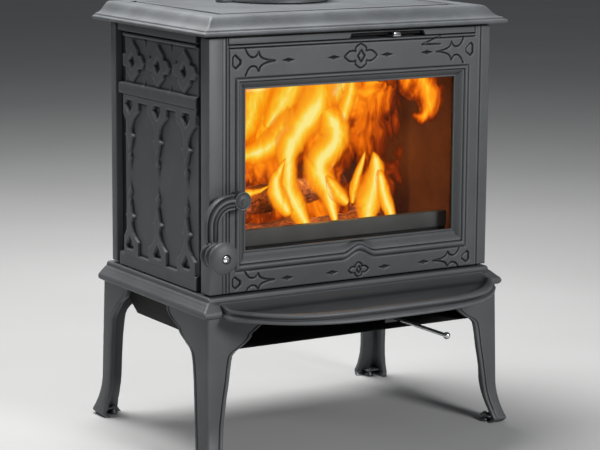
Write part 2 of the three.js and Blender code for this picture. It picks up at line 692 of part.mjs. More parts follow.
place("hinge_pin_lower", rodZ(PIN_RADIUS, HINGE_X, HINGE_Y, 247.4, 276.5, 16), darkSteel);
place("hinge_pin_upper", rodZ(PIN_RADIUS, HINGE_X, HINGE_Y, 627.5, BODY_HIGH, 16), darkSteel);

// ---------------------------------------------------------------- door handle and latch

// The arm leaves the hub to the left, bends down through a quarter turn and runs down to the knob.
const ARM_BACK = -14;
const ARM_FRONT = -26;
const ARM_HALF = 12;
const BEND = 34;
const bendX = KNOB_X + BEND;
const armShape = new THREE.Shape();
armShape.moveTo(PIVOT_X, PIVOT_Z + ARM_HALF - 2);
armShape.lineTo(bendX, PIVOT_Z + ARM_HALF);
armShape.absarc(bendX, PIVOT_Z - BEND, BEND + ARM_HALF, Math.PI / 2, Math.PI, false);
armShape.lineTo(KNOB_X - ARM_HALF, KNOB_Z);
armShape.absarc(KNOB_X, KNOB_Z, ARM_HALF, Math.PI, Math.PI * 2, false);
armShape.lineTo(KNOB_X + ARM_HALF, PIVOT_Z - BEND);
armShape.absarc(bendX, PIVOT_Z - BEND, BEND - ARM_HALF, Math.PI, Math.PI / 2, true);
armShape.lineTo(PIVOT_X, PIVOT_Z - ARM_HALF + 2);
const arm = prismY(armShape, ARM_FRONT, ARM_BACK, 8);
const armSocket = rodY(15.4, PIVOT_X, PIVOT_Z, ARM_FRONT - 5, ARM_BACK + 5, 24);
const kneck = rodY(16, KNOB_X, KNOB_Z, ARM_FRONT - 4, ARM_BACK - 1, 24);
const screwBore = rodY(3.6, KNOB_X, KNOB_Z, ARM_FRONT - 10, ARM_BACK - 3, 12);
place("handle_arm", cut(union(arm, kneck), armSocket, screwBore), castIron);

const hub = turnedY(
  [
    [5.4, -4], [13, -4], [15, -6], [15, -24], [13.6, -29], [9, -33], [0, -35], [0, -30], [5.4, -30], [5.4, -4],
  ],
  PIVOT_X, PIVOT_Z, 24
);
place("handle_hub", hub, castIron);
place("handle_shaft", rodY(5, PIVOT_X, PIVOT_Z, -29.6, 35.6, 16), darkSteel);
const CAM_REACH = 13.2;
const camTongue = box(PIVOT_X - CAM_REACH, PIVOT_X, 36, 42, PIVOT_Z - 5, PIVOT_Z + 5);
place("latch_cam", union(rodY(6, PIVOT_X, PIVOT_Z, 36, 42, 16), camTongue), darkSteel);
const keeper = union(
  box(-241, -226, FRAME_BACK + GAP, 39, PIVOT_Z - 20, PIVOT_Z + 20),
  box(-241, -237, 38, 46, PIVOT_Z - 20, PIVOT_Z + 20)
);
place("latch_keeper", keeper, darkSteel);

// The knob: two collars behind a flattened disc with a sunk screw.
const knobBack = ARM_FRONT - 4 - GAP;
const knob = turnedY(
  [
    [4.6, knobBack], [20, knobBack], [22, knobBack - 2], [21.6, knobBack - 5], [20.6, knobBack - 7],
    [16.4, knobBack - 9], [16, knobBack - 14], [21, KNOB_Y + 5.6], [23.4, KNOB_Y + 3], [KNOB_RADIUS, KNOB_Y],
    [23.2, KNOB_Y - 3.6], [20.6, KNOB_Y - 6.4], [15.6, KNOB_Y - 8.4], [7.6, KNOB_Y - 9.4],
    [7.2, KNOB_Y - 3], [4.6, KNOB_Y - 3], [4.6, knobBack],
  ],
  KNOB_X, KNOB_Z, 32
);
place("handle_knob", knob, castIron);
const screw = turnedY(
  [
    [0, ARM_BACK - 4], [3, ARM_BACK - 4], [3, KNOB_Y - 3 - GAP], [6.4, KNOB_Y - 3 - GAP],
    [6.2, KNOB_Y - 6], [4, KNOB_Y - 8], [0, KNOB_Y - 8.6],
  ],
  KNOB_X, KNOB_Z, 16
);
place("knob_screw", screw, brightSteel);

// ---------------------------------------------------------------- origin under the middle of the box

const bounds = new THREE.Box3().setFromObject(stove);
const middle = bounds.getCenter(new THREE.Vector3());
stove.position.set(-middle.x, -middle.y, 0);
stove.updateMatrixWorld(true);

export default stove;
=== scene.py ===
"""A small cast-iron wood burning stove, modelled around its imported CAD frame.

All shapes are drawn in millimetres in the stove's own drawing frame: X = 0 on the middle plane of the
body, Y = 0 on the front face of the body, Z = 0 on the floor. at() turns such points into the row frame.
"""

import json
import math
import random

import bmesh
import bpy
import numpy as np
from mathutils import Matrix, Vector, noise


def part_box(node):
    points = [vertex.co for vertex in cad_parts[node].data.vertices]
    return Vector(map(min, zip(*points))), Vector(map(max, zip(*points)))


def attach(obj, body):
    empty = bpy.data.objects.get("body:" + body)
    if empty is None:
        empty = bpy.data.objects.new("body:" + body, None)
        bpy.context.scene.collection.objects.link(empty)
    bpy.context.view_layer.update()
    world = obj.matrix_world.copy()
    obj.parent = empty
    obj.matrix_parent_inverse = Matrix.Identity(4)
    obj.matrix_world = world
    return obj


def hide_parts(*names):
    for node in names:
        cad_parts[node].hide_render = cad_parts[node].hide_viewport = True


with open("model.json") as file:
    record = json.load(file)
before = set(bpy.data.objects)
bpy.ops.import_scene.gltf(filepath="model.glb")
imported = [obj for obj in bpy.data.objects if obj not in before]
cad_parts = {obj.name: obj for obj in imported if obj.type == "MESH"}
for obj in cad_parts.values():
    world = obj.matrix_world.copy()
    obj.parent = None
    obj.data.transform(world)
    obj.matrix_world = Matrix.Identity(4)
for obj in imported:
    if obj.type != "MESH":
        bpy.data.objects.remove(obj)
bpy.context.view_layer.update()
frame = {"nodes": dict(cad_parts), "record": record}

MM = 0.001
# The mean slope of the edges at a point, against its normal, that counts as a full hollow or edge.
FULL_BEND = 0.4
body_low, body_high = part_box("front_frame")
ORIGIN = np.array([(body_low.x + body_high.x) / 2, body_low.y, 0.0])


def at(x, y, z):
    """A point of the drawing frame, in metres in the row frame."""
    return Vector(ORIGIN + np.array([x, y, z]) * MM)


def span(node):
    """x0, x1, y0, y1, z0, z1 of a CAD node, in millimetres in the drawing frame."""
    low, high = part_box(node)
    low = (np.array(low) - ORIGIN) / MM
    high = (np.array(high) - ORIGIN) / MM
    return low[0], high[0], low[1], high[1], low[2], high[2]


def centre_of(node):
    """The middle of the box of a CAD node, in millimetres in the drawing frame."""
    x0, x1, y0, y1, z0, z1 = span(node)
    return (x0 + x1) / 2, (y0 + y1) / 2, (z0 + z1) / 2


def add_object(name, data):
    """A new object in the scene, made from a mesh, a lamp or a camera."""
    obj = bpy.data.objects.new(name, data)
    bpy.context.scene.collection.objects.link(obj)
    return obj


# ---------------------------------------------------------------- shapes
# A shape is a pair: an array of points, and a list of faces that number them.

def merge(*shapes):
    """Several closed shells as one shape."""
    points = []
    faces = []
    start = 0
    for shape_points, shape_faces in shapes:
        points.append(np.asarray(shape_points, float).reshape(-1, 3))
        faces += [tuple(i + start for i in face) for face in shape_faces]
        start += len(points[-1])
    return np.vstack(points), faces


def loft(loops, closed=False, caps=True):
    """A skin over loops that all have the same number of points."""
    count = len(loops[0])
    rings = len(loops)
    faces = []
    for k in range(rings if closed else rings - 1):
        here = k * count
        there = ((k + 1) % rings) * count
        for i in range(count):
            j = (i + 1) % count
            faces.append((here + i, here + j, there + j, there + i))
    if caps and not closed:
        faces.append(tuple(range(count)))
        faces.append(tuple(range((rings - 1) * count, rings * count)))
    return np.vstack([np.asarray(loop, float) for loop in loops]), faces


def lathe(profile, centre, axis="z", segments=64):
    """A turned shape. The profile is [radius, height]; it ends on the axis, or is a closed ring."""
    turns = np.arange(segments) * 2 * math.pi / segments
    loops = []
    for radius, height in profile:
        u = radius * np.cos(turns)
        v = radius * np.sin(turns)
        h = np.full(segments, float(height))
        ring = {"z": (u, v, h), "y": (u, h, v), "x": (h, u, v)}[axis]
        loops.append(np.stack(ring, 1) + np.array(centre, float))
    return loft(loops, closed=profile[0][0] > 0, caps=False)


def smooth_line(points, passes=2, closed=False):
    """Corners of a line of points rounded off; the ends of an open line stay."""
    line = [np.array(p, float) for p in points]
    for _ in range(passes):
        pairs = list(zip(line, line[1:] + ([line[0]] if closed else [])))
        cut = []
        for a, b in pairs:
            cut += [a * 0.75 + b * 0.25, a * 0.25 + b * 0.75]
        line = cut if closed else [line[0]] + cut + [line[-1]]
    return line


def normal_at(path, i, closed=False):
    """Unit vector square to a line of points at one of them, and how far apart its neighbours are."""
    ahead = path[(i + 1) % len(path) if closed else min(i + 1, len(path) - 1)]
    behind = path[i - 1 if closed else max(i - 1, 0)]
    du, dv = ahead[0] - behind[0], ahead[1] - behind[1]
    length = math.hypot(du, dv)
    return dv / length, -du / length, length


def prism(outline, axis, low, high):
    """A flat outline drawn in the two other axes, carried along one axis."""
    loops = []
    for h in (low, high):
        loop = []
        for u, v in outline:
            loop.append({"x": (h, u, v), "y": (u, h, v), "z": (u, v, h)}[axis])
        loops.append(loop)
    return loft(loops)


def edited(shape):
    """A bmesh of a shape, welded and with its faces turned outwards."""
    edit = bmesh.new()
    corners = [edit.verts.new(p) for p in shape[0]]
    for face in shape[1]:
        ring = [corners[i] for i in dict.fromkeys(face)]
        if len(ring) > 2:
            edit.faces.new(ring)
    bmesh.ops.remove_doubles(edit, verts=edit.verts, dist=0.001)
    bmesh.ops.recalc_face_normals(edit, faces=edit.faces)
    return edit


def taken(edit):
    """The shape that a bmesh holds; the bmesh is freed."""
    edit.verts.index_update()
    points = np.array([v.co[:] for v in edit.verts])
    faces = [tuple(v.index for v in f.verts) for f in edit.faces]
    edit.free()
    return points, faces


def soften(shape, width, segments=2, angle=30):
    """The shape with its edges rounded over a width."""
    edit = edited(shape)
    bmesh.ops.dissolve_limit(edit, angle_limit=math.radians(1), verts=edit.verts, edges=edit.edges)
    sharp = [e for e in edit.edges if e.is_manifold and e.calc_face_angle(0) > math.radians(angle)]
    bmesh.ops.bevel(
        edit, geom=sharp, offset=width, offset_type="OFFSET", segments=segments, profile=0.5,
        affect="EDGES", clamp_overlap=True,
    )
    return taken(edit)


def cuboid(x0, x1, y0, y1, z0, z1):
    return prism([(x0, y0), (x1, y0), (x1, y1), (x0, y1)], "z", z0, z1)


def block(x0, x1, y0, y1, z0, z1, rounding=1.0, segments=2):
    """A cuboid with rounded edges."""
    return soften(cuboid(x0, x1, y0, y1, z0, z1), rounding, segments)


def cad_shape(node):
    """The shape of a CAD node, in the drawing frame."""
    mesh = frame["nodes"][node].data
    points = (np.array([v.co[:] for v in mesh.vertices]) - ORIGIN) / MM
    return points, [tuple(f.vertices) for f in mesh.polygons]


def cut_out(shape, tool):
    """A shape less another one."""
    scratch = []
    for points, faces in (shape, tool):
        mesh = bpy.data.meshes.new("scratch")
        mesh.from_pydata([tuple(p) for p in points], [], faces)
        scratch.append(add_object("scratch", mesh))
    solid, cutter = scratch
    cut = solid.modifiers.new("cut", "BOOLEAN")
    cut.operation = "DIFFERENCE"
    cut.object = cutter
    cut.solver = "EXACT"
    result = solid.evaluated_get(bpy.context.evaluated_depsgraph_get()).to_mesh()
    left = np.array([v.co[:] for v in result.vertices]), [tuple(f.vertices) for f in result.polygons]
    solid.to_mesh_clear()
    for obj in scratch:
        bpy.data.meshes.remove(obj.data)
    return left


def hexagon(x, y, across, turn=0.0):
    """A hexagon by its width across flats."""
    radius = across / math.sqrt(3)
    return [
        (x + radius * math.cos(turn + i * math.pi / 3), y + radius * math.sin(turn + i * math.pi / 3))
        for i in range(6)
    ]


def mark_hollows(mesh):
    """Stores on each point how its surface bends: 1 in a hollow, 0 on an edge, a half where it is flat."""
    count = len(mesh.vertices)
    points = np.empty(count * 3)
    mesh.vertices.foreach_get("co", points)
    points = points.reshape(-1, 3)
    normals = np.empty(count * 3, dtype=np.float32)
    mesh.vertex_normals.foreach_get("vector", normals)
    normals = normals.reshape(-1, 3).astype(float)
    ends = np.empty(len(mesh.edges) * 2, dtype=np.int32)
    mesh.edges.foreach_get("vertices", ends)
    first, second = ends.reshape(-1, 2).T
    along = points[second] - points[first]
    length = np.maximum(np.linalg.norm(along, axis=1), 1e-6)
    weight = 1 / length
    rise = np.zeros(count)
    total = np.zeros(count)
    for near, way in ((first, 1), (second, -1)):
        np.add.at(rise, near, weight * way * (along * normals[near]).sum(1) / length)
        np.add.at(total, near, weight)
    cavity = np.clip(0.5 + 0.5 * rise / np.maximum(total, 1e-6) / FULL_BEND, 0, 1)
    attribute = mesh.attributes.new("cavity", "FLOAT", "POINT")
    attribute.data.foreach_set("value", cavity.astype(np.float32))


def piece(name, shape, material, body, stands_for=(), crease=38):
    """Makes a visible piece from a shape, and lets it ride on a body."""
    mesh = bpy.data.meshes.new(name)
    edit = edited(shape)
    edit.to_mesh(mesh)
    edit.free()
    mesh.transform(Matrix.Translation(ORIGIN) @ Matrix.Scale(MM, 4))
    mesh.shade_smooth()
    mesh.set_sharp_from_angle(angle=math.radians(crease))
    obj = add_object(name, mesh)
    mesh.materials.append(material)
    # The bends give these irons their painted shade in hollows and painted highlights on edges.
    if material in (iron, rough_iron):
        mark_hollows(mesh)
    if stands_for:
        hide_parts(*stands_for)
    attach(obj, body)
    return obj


def detailed(node, width, material, body="stove", segments=2):
    """A CAD node made again with rounded edges."""
    return piece(node + "_fine", soften(cad_shape(node), width, segments), material, body, [node])


def turned_piece(node, line, centre, axis, segments, material, body="stove"):
    """A CAD node made again as a turned shape."""
    return piece(node + "_fine", lathe(line, centre, axis, segments), material, body, [node])


# ---------------------------------------------------------------- materials

def new_material(name):
    material = bpy.data.materials.new(name)
    material.use_nodes = True
    tree = material.node_tree
    return material, tree, tree.nodes["Principled BSDF"]


def see_through(name):
    """A material that is clear where the factor of its mix is 0: the material, tree, clear and mix."""
    material, tree, shader = new_material(name)
    tree.nodes.remove(shader)
    clear = tree.nodes.new("ShaderNodeBsdfTransparent")
    mix = tree.nodes.new("ShaderNodeMixShader")
    tree.links.new(clear.outputs["BSDF"], mix.inputs[1])
    tree.links.new(mix.outputs["Shader"], tree.nodes["Material Output"].inputs["Surface"])
    return material, tree, clear, mix


def place_coordinates(tree, stretch=(1, 1, 1)):
    place = tree.nodes.new("ShaderNodeTexCoord")
    mapping = tree.nodes.new("ShaderNodeMapping")
    mapping.inputs["Scale"].default_value = stretch
    tree.links.new(place.outputs["Object"], mapping.inputs["Vector"])
    return mapping.outputs["Vector"]


def noise_field(tree, coordinates, scale, detail=3.0, roughness=0.5, distortion=0.0):
    field = tree.nodes.new("ShaderNodeTexNoise")
    field.inputs["Scale"].default_value = scale
    field.inputs["Detail"].default_value = detail
    field.inputs["Roughness"].default_value = roughness
    field.inputs["Distortion"].default_value = distortion
    tree.links.new(coordinates, field.inputs["Vector"])
    return field.outputs["Fac"]


def colour_ramp(tree, value, stops):
    ramp = tree.nodes.new("ShaderNodeValToRGB")
    elements = ramp.color_ramp.elements
    while len(elements) < len(stops):
        elements.new(0.5)
    for element, (position, colour) in zip(elements, stops):
        element.position = position
        element.color = (*colour, 1.0)
    tree.links.new(value, ramp.inputs["Fac"])
    return ramp.outputs["Color"]


def math_node(tree, operation, first, second):
    node = tree.nodes.new("ShaderNodeMath")
    node.operation = operation
    for socket, value in zip(node.inputs, (first, second)):
        if isinstance(value, (int, float)):
            socket.default_value = value
        else:
            tree.links.new(value, socket)
    return node.outputs["Value"]


def blended(tree, first, second, share):
    """Two values added up, the first by its share and the second by the rest."""
    rest = math_node(tree, "MULTIPLY", second, 1 - share)
    return math_node(tree, "ADD", math_node(tree, "MULTIPLY", first, share), rest)


def remap(tree, value, low, high):
    node = tree.nodes.new("ShaderNodeMapRange")
    node.inputs["To Min"].default_value = low
    node.inputs["To Max"].default_value = high
    tree.links.new(value, node.inputs["Value"])
    return node.outputs["Result"]


def bump(tree, shader, height, distance, before=None):
    node = tree.nodes.new("ShaderNodeBump")
    node.inputs["Strength"].default_value = 1.0
    node.inputs["Distance"].default_value = distance
    tree.links.new(height, node.inputs["Height"])
    if before is not None:
        tree.links.new(before, node.inputs["Normal"])
    tree.links.new(node.outputs["Normal"], shader.inputs["Normal"])
    return node.outputs["Normal"]


def shade(colour, factor):
    return tuple(c * factor for c in colour)


# Painted shade and painted highlight: how light the paint is made by the cavity value of the point, darker in
# hollows and lighter on edges.
SHADE_BY_CAVITY = [(0.1, 1.3), (0.44, 1.0), (0.54, 0.9), (0.88, 0.1)]


def grainy(
    name, colour, roughness, metallic, grain_size, grain_depth, spread=0.12, wave_depth=0.0002, painted_shading=False,
):
    """Painted or bare metal with a cast or sprayed grain and slow changes of tone.

    With painted_shading it gets painted shade in its cavities and painted highlights on its edges, by the
    cavity value of each point.
    """
    material, tree, shader = new_material(name)
    coordinates = place_coordinates(tree)
    patches = noise_field(tree, coordinates, 16.0, 4.0, 0.55)
    speckle = noise_field(tree, coordinates, 1 / grain_size, 3.0, 0.6)
    waves = noise_field(tree, coordinates, 150.0, 2.0, 0.5)
    tone = blended(tree, patches, speckle, 0.65)
    stops = [(0.32, shade(colour, 1 - spread)), (0.68, shade(colour, 1 + spread))]
    paint = colour_ramp(tree, tone, stops)
    # Painted shade in hollows and painted highlights on edges, from the cavity value.
    if painted_shading:
        cavity = tree.nodes.new("ShaderNodeAttribute")
        cavity.attribute_name = "cavity"
        shaded_paint = tree.nodes.new("ShaderNodeVectorMath")
        shaded_paint.operation = "MULTIPLY"
        stops = [(place, (light,) * 3) for place, light in SHADE_BY_CAVITY]
        tree.links.new(paint, shaded_paint.inputs[0])
        tree.links.new(colour_ramp(tree, cavity.outputs["Fac"], stops), shaded_paint.inputs[1])
        paint = shaded_paint.outputs["Vector"]
    tree.links.new(paint, shader.inputs["Base Color"])
    tree.links.new(remap(tree, speckle, roughness - 0.07, roughness + 0.09), shader.inputs["Roughness"])
    shader.inputs["Metallic"].default_value = metallic
    slow = bump(tree, shader, waves, wave_depth)
    bump(tree, shader, speckle, grain_depth, before=slow)
    return material


IRON = (0.083, 0.088, 0.093)
# The three cast irons carry painted shade in their hollows and painted highlights on their edges.
iron = grainy("cast_iron_paint", IRON, 0.52, 0.25, 0.0011, 0.00022, painted_shading=True)
relief_iron_painted_shade = grainy("cast_iron_relief", IRON, 0.52, 0.25, 0.0011, 0.00022, painted_shading=True)
rough_iron = grainy("cast_iron_rough", shade(IRON, 1.12), 0.56, 0.2, 0.0016, 0.0006, 0.34, painted_shading=True)
burnt = grainy("burnt_iron", (0.085, 0.088, 0.09), 0.8, 0.1, 0.0015, 0.0004, 0.3)
# Near black: soot inside the firebox, and painted shade on parts that lie in shadow.
soot_and_shade = grainy("soot_and_shade", (0.012, 0.011, 0.011), 0.95, 0.0, 0.0015, 0.0004, 0.3)
dark_steel = grainy("dark_steel", (0.10, 0.105, 0.11), 0.38, 0.85, 0.0006, 0.00005)
sheet = grainy("painted_sheet", (0.075, 0.078, 0.082), 0.46, 0.45, 0.0006, 0.00005, 0.08, 0.0001)
bright = grainy("bright_steel", (0.62, 0.63, 0.64), 0.2, 1.0, 0.0004, 0.00002, 0.06, 0.00003)
rope = grainy("seal_rope", (0.03, 0.031, 0.034), 0.9, 0.0, 0.0009, 0.0004, 0.4)


def make_board():
    """Pressed fire board, brown from the fire and pitted all over."""
    material, tree, shader = new_material("fire_board")
    coordinates = place_coordinates(tree)
    patches = noise_field(tree, coordinates, 9.0, 5.0, 0.6)
    pits = noise_field(tree, coordinates, 420.0, 4.0, 0.7)
    tone = blended(tree, patches, pits, 0.5)
    stops = [(0.34, (0.06, 0.026, 0.014)), (0.5, (0.13, 0.06, 0.033)), (0.66, (0.22, 0.115, 0.07))]
    tree.links.new(colour_ramp(tree, tone, stops), shader.inputs["Base Color"])
    shader.inputs["Roughness"].default_value = 0.92
    bump(tree, shader, pits, 0.0006)
    return material


board = make_board()


def make_glass():
    """Clear stove glass: it lets light through and only reflects by its Fresnel share."""
    material, tree, clear, mix = see_through("stove_glass")
    clear.inputs["Color"].default_value = (0.93, 0.93, 0.92, 1)
    gloss = tree.nodes.new("ShaderNodeBsdfGlossy")
    gloss.inputs["Roughness"].default_value = 0.03
    fresnel = tree.nodes.new("ShaderNodeFresnel")
    fresnel.inputs["IOR"].default_value = 1.16
    tree.links.new(fresnel.outputs["Fac"], mix.inputs["Fac"])
    tree.links.new(gloss.outputs["BSDF"], mix.inputs[2])
    return material


glass = make_glass()


def make_char(name, glow):
    """Charred wood: black and brown flakes, with flecks that still glow."""
    material, tree, shader = new_material(name)
    coordinates = place_coordinates(tree, (0.5, 1, 1))
    patches = noise_field(tree, coordinates, 24.0, 5.0, 0.65)
    flakes = noise_field(tree, coordinates, 150.0, 4.0, 0.7, 0.8)
    stops = [(0.35, (0.010, 0.007, 0.006)), (0.52, (0.05, 0.026, 0.015)), (0.68, (0.15, 0.08, 0.045))]
    tree.links.new(colour_ramp(tree, flakes, stops), shader.inputs["Base Color"])
    shader.inputs["Roughness"].default_value = 0.9
    hot = blended(tree, patches, flakes, 0.5)
    stops = [
        (0.40, (0.03, 0.003, 0)), (0.5, (0.26, 0.03, 0.001)), (0.58, (0.7, 0.12, 0.01)),
        (0.68, (1.0, 0.4, 0.05)),
    ]
    tree.links.new(colour_ramp(tree, hot, stops), shader.inputs["Emission Color"])
    shader.inputs["Emission Strength"].default_value = glow
    bump(tree, shader, flakes, 0.004)
    return material


log_bark = make_char("charred_log", 0.8)
ember = make_char("ember", 0.9)


def make_flame(name, stops, cover, strength, wander):
    """Fire from the heat of each point: its colour by stops, and cover for where it shows at all.

    wander is how much streaks of noise add to the heat or take from it.
    """
    material, tree, _, mix = see_through(name)
    heat = tree.nodes.new("ShaderNodeAttribute")
    heat.attribute_name = "warmth"
    streaks = noise_field(tree, place_coordinates(tree, (1, 1, 0.4)), 34.0, 5.0, 0.6, 1.6)
    stray = math_node(tree, "MULTIPLY", math_node(tree, "SUBTRACT", streaks, 0.5), wander)
    lively = math_node(tree, "ADD", heat.outputs["Fac"], stray)
    glow = tree.nodes.new("ShaderNodeEmission")
    glow.inputs["Strength"].default_value = strength
    tree.links.new(colour_ramp(tree, lively, stops), glow.inputs["Color"])
    tree.links.new(colour_ramp(tree, lively, cover), mix.inputs["Fac"])
    tree.links.new(glow.outputs["Emission"], mix.inputs[2])
    return material


SOOT_RED, EMBER_RED = (0.06, 0.008, 0.002), (0.24, 0.024, 0.001)
DEEP_ORANGE, ORANGE = (0.70, 0.11, 0.001), (1.0, 0.24, 0.003)
DEEP_AMBER, AMBER = (1.0, 0.33, 0.006), (1.0, 0.44, 0.012)
YELLOW, PALE_YELLOW = (1.0, 0.64, 0.05), (1.0, 0.84, 0.26)
FLAME_STOPS = [
    (0.08, DEEP_ORANGE), (0.2, ORANGE), (0.36, DEEP_AMBER), (0.52, AMBER), (0.72, YELLOW),
    (0.92, PALE_YELLOW),
]
FLAME_COVER = [(0.02, (0, 0, 0)), (0.16, (0.3, 0.3, 0.3)), (0.36, (0.85, 0.85, 0.85)), (0.6, (1, 1, 1))]
HAZE_STOPS = [
    (0.05, SOOT_RED), (0.25, EMBER_RED), (0.42, DEEP_ORANGE), (0.6, ORANGE), (0.8, AMBER), (1.0, YELLOW),
]
HAZE_COVER = [(0.04, (0, 0, 0)), (0.2, (1, 1, 1))]
flame = make_flame("flame", FLAME_STOPS, FLAME_COVER, 1.12, 0.9)
flame_haze = make_flame("flame_haze", HAZE_STOPS, HAZE_COVER, 1.15, 1.5)


# ---------------------------------------------------------------- relief castings
# A relief is a sheet of small faces whose depth behind its front plane is a function of place.

def inside(distance, width):
    """1 well inside an outline, 0 outside, with a smooth slope of that width on the line."""
    t = np.clip(0.5 - distance / width, 0, 1)
    return t * t * (3 - 2 * t)


def ridge(distance, half_width):
    """1 on a line, 0 beyond half_width of it."""
    t = np.clip(1 - np.abs(distance) / half_width, 0, 1)
    return t * t * (3 - 2 * t)


def line_distance(u, v, points, closed=True):
    """Distance to a line of points; negative inside it if it is closed."""
    ends = points[1:] + ([points[0]] if closed else [])
    best = np.full(u.shape, 1e9)
    within = np.zeros(u.shape, bool)
    for (u0, v0), (u1, v1) in zip(points, ends):
        du = u1 - u0
        dv = v1 - v0
        t = np.clip(((u - u0) * du + (v - v0) * dv) / (du * du + dv * dv), 0, 1)
        best = np.minimum(best, (u - u0 - t * du) ** 2 + (v - v0 - t * dv) ** 2)
        if closed and dv != 0:
            crossed = (v0 > v) != (v1 > v)
            within ^= crossed & (u < u0 + (v - v0) * du / dv)
    return np.where(within, -1, 1) * np.sqrt(best)


def box_distance(u, v, u0, u1, v0, v1):
    """Distance to the sides of a rectangle; negative inside it."""
    return np.maximum(np.maximum(u0 - u, u - u1), np.maximum(v0 - v, v - v1))


def grid_lines(*stretches):
    """Grid lines over stretches, each (from, to, widest step)."""
    lines = []
    for start, end, step in stretches:
        count = max(1, math.ceil((end - start) / step))
        lines += [start + (end - start) * i / count for i in range(count)]
    return np.array(lines + [stretches[-1][1]])


def relief_sheet(u_lines, v_lines, kept, depth):
    """An open bmesh of the front face. kept says which cells are there; points are (u, depth, v)."""
    u, v = np.meshgrid(u_lines, v_lines, indexing="ij")
    deep = depth(u, v)
    middles = [(lines[1:] + lines[:-1]) / 2 for lines in (u_lines, v_lines)]
    cells = np.argwhere(kept(*np.meshgrid(*middles, indexing="ij")))
    edit = bmesh.new()
    made = {}

    def corner(i, j):
        if (i, j) not in made:
            made[i, j] = edit.verts.new((u[i, j], deep[i, j], v[i, j]))
        return made[i, j]

    for i, j in cells:
        edit.faces.new((corner(i, j), corner(i + 1, j), corner(i + 1, j + 1), corner(i, j + 1)))
    return edit


def drawn_points(obj):
    """The points of a piece, in the drawing frame."""
    return (np.array([v.co[:] for v in obj.data.vertices]) - ORIGIN) / MM


def mark_cavities(obj, across, u_lines, v_lines, depth):
    """Stores on each point how it lies against the mean depth round it: 1 well below, 0 well above.

    The mean is taken over reach grid lines to each side, and full is the difference that counts as 1.
    """
    reach, full = 3, 1.6
    deep = depth(*np.meshgrid(u_lines, v_lines, indexing="ij"))
    mean = deep
    for axis in (0, 1):
        room = [(reach, reach) if i == axis else (0, 0) for i in (0, 1)]
        padded = np.pad(mean, room, mode="edge")
        size = deep.shape[axis]
        mean = sum(np.take(padded, range(k, k + size), axis) for k in range(2 * reach + 1)) / (2 * reach + 1)
    cavity = np.clip(0.5 + 0.5 * (deep - mean) / full, 0, 1)
    points = drawn_points(obj)
    i = np.abs(points[:, across, None] - u_lines[None, :]).argmin(1)
    j = np.abs(points[:, 2, None] - v_lines[None, :]).argmin(1)
    # These values give the relief iron its painted shade in hollows and painted highlights on raised edges.
    attribute = obj.data.attributes.new("cavity", "FLOAT", "POINT")
    attribute.data.foreach_set("value", cavity[i, j].astype(np.float32))


def set_cavity(obj, region, value):
    """Gives one cavity value to every point of the piece that lies in a region of the drawing."""
    # The cavity value sets painted shade: 1 paints the points near black, a half leaves them neither shaded
    # nor lit up.
    points = drawn_points(obj)
    values = obj.data.attributes["cavity"].data
    within = (points >= region[0::2]).all(1) & (points <= region[1::2]).all(1)
    for i in np.flatnonzero(within):
        values[i].value = value


def carried_back(edit, edges, place):
    """The border edges drawn back once more; place moves each new point. Returns the new border."""
    grown = bmesh.ops.extrude_edge_only(edit, edges=edges)["geom"]
    fresh = {g for g in grown if isinstance(g, bmesh.types.BMVert)}
    for vertex in fresh:
        vertex.co = place(vertex.co)
    return [e for e in edit.edges if e.is_boundary and e.verts[0] in fresh and e.verts[1] in fresh]


# ---------------------------------------------------------------- door casting

DOOR = span("door_frame")
GLASS = span("door_glass")
REBATE = 12.0
WINDOW = (GLASS[0] + 11.4, GLASS[1] - 11.4, GLASS[4] + 11.4, GLASS[5] - 11.4)
MOULD = (-210.0, 214.3, 291.8, 583.6)
EAR_LEFT, EAR_RIGHT, NOTCH_LOW = -222.5, 225.5, 632.6
BUMP_X, BUMP_HALF, BUMP_RISE = 12.0, 31.0, 11.5
UPPER_Z, LOWER_Z = 607.0, 273.5

# Depth across the window moulding, by share of the way from the opening to its outer line.
MOULDING = [
    (0.0, 11.4), (0.025, 9.0), (0.07, 8.3), (0.105, 9.4), (0.13, 9.6), (0.2, 8.9), (0.3, 7.2), (0.4, 5.0),
    (0.5, 3.0), (0.58, 1.7), (0.63, 1.3), (0.66, 3.0), (0.69, 1.1), (0.73, -0.5), (0.82, -1.3), (0.91, -0.5),
    (0.955, 1.0), (1.0, 1.9), (1.05, 0.6), (1.09, 0.0),
]


def arc(centre, radius, start, end, steps=8):
    """Points on a circle between two angles, in degrees."""
    turns = np.radians(np.linspace(start, end, steps))
    return [(centre[0] + radius * math.cos(t), centre[1] + radius * math.sin(t)) for t in turns]


def with_lower(line):
    """A line of points down to the axis, and its mirror image below it."""
    return list(line) + [(u, -v) for u, v in line[::-1][1:]]


def fleur_lines(mirror, x, z, tall):
    """A four-pointed star with two cusped bows at its outer side, as one open line."""
    bow = [(-23, 20), (-19, 11.5), (-13, 6.5), (-7, 6.6), (-3.2, 9), (0, 14.5)]
    ray = [(0, 14.5), (2.4, 8), (7, 4.4), (15, 1.8), (28, 0)]
    points = with_lower(smooth_line(bow, 2) + smooth_line(ray, 2)[1:])
    return [(x + mirror * u, z + tall * v) for u, v in points]


def cross_outline(x, z, size):
    """A barbed cross of four round lobes."""
    quarter = [
        (0, 18.6), (5.5, 16.4), (9.8, 12.4), (10.0, 7.2), (13.5, 8.2), (20.5, 7.6), (26, 3.8), (29.6, 0),
    ]
    points = with_lower(quarter)
    points += [(-u, v) for u, v in points[::-1][1:-1]]
    return [(x + size * u, z + size * v) for u, v in points]


def diamond(u, v, x, z, half_u, half_v, power=0.8):
    """1 in the middle of a diamond with hollow sides, 0 at its border."""
    size = (np.abs(u - x) / half_u) ** power + (np.abs(v - z) / half_v) ** power
    return np.clip(1 - size, 0, 1)


def pentagon(mirror, x, z, tall):
    corners = [(-5, 11.5), (4.6, 3), (4.6, -2), (-3.8, -9), (-8.6, -4.6), (-8.6, 7.6)]
    return [(x + mirror * u, z + tall * v) for u, v in corners]


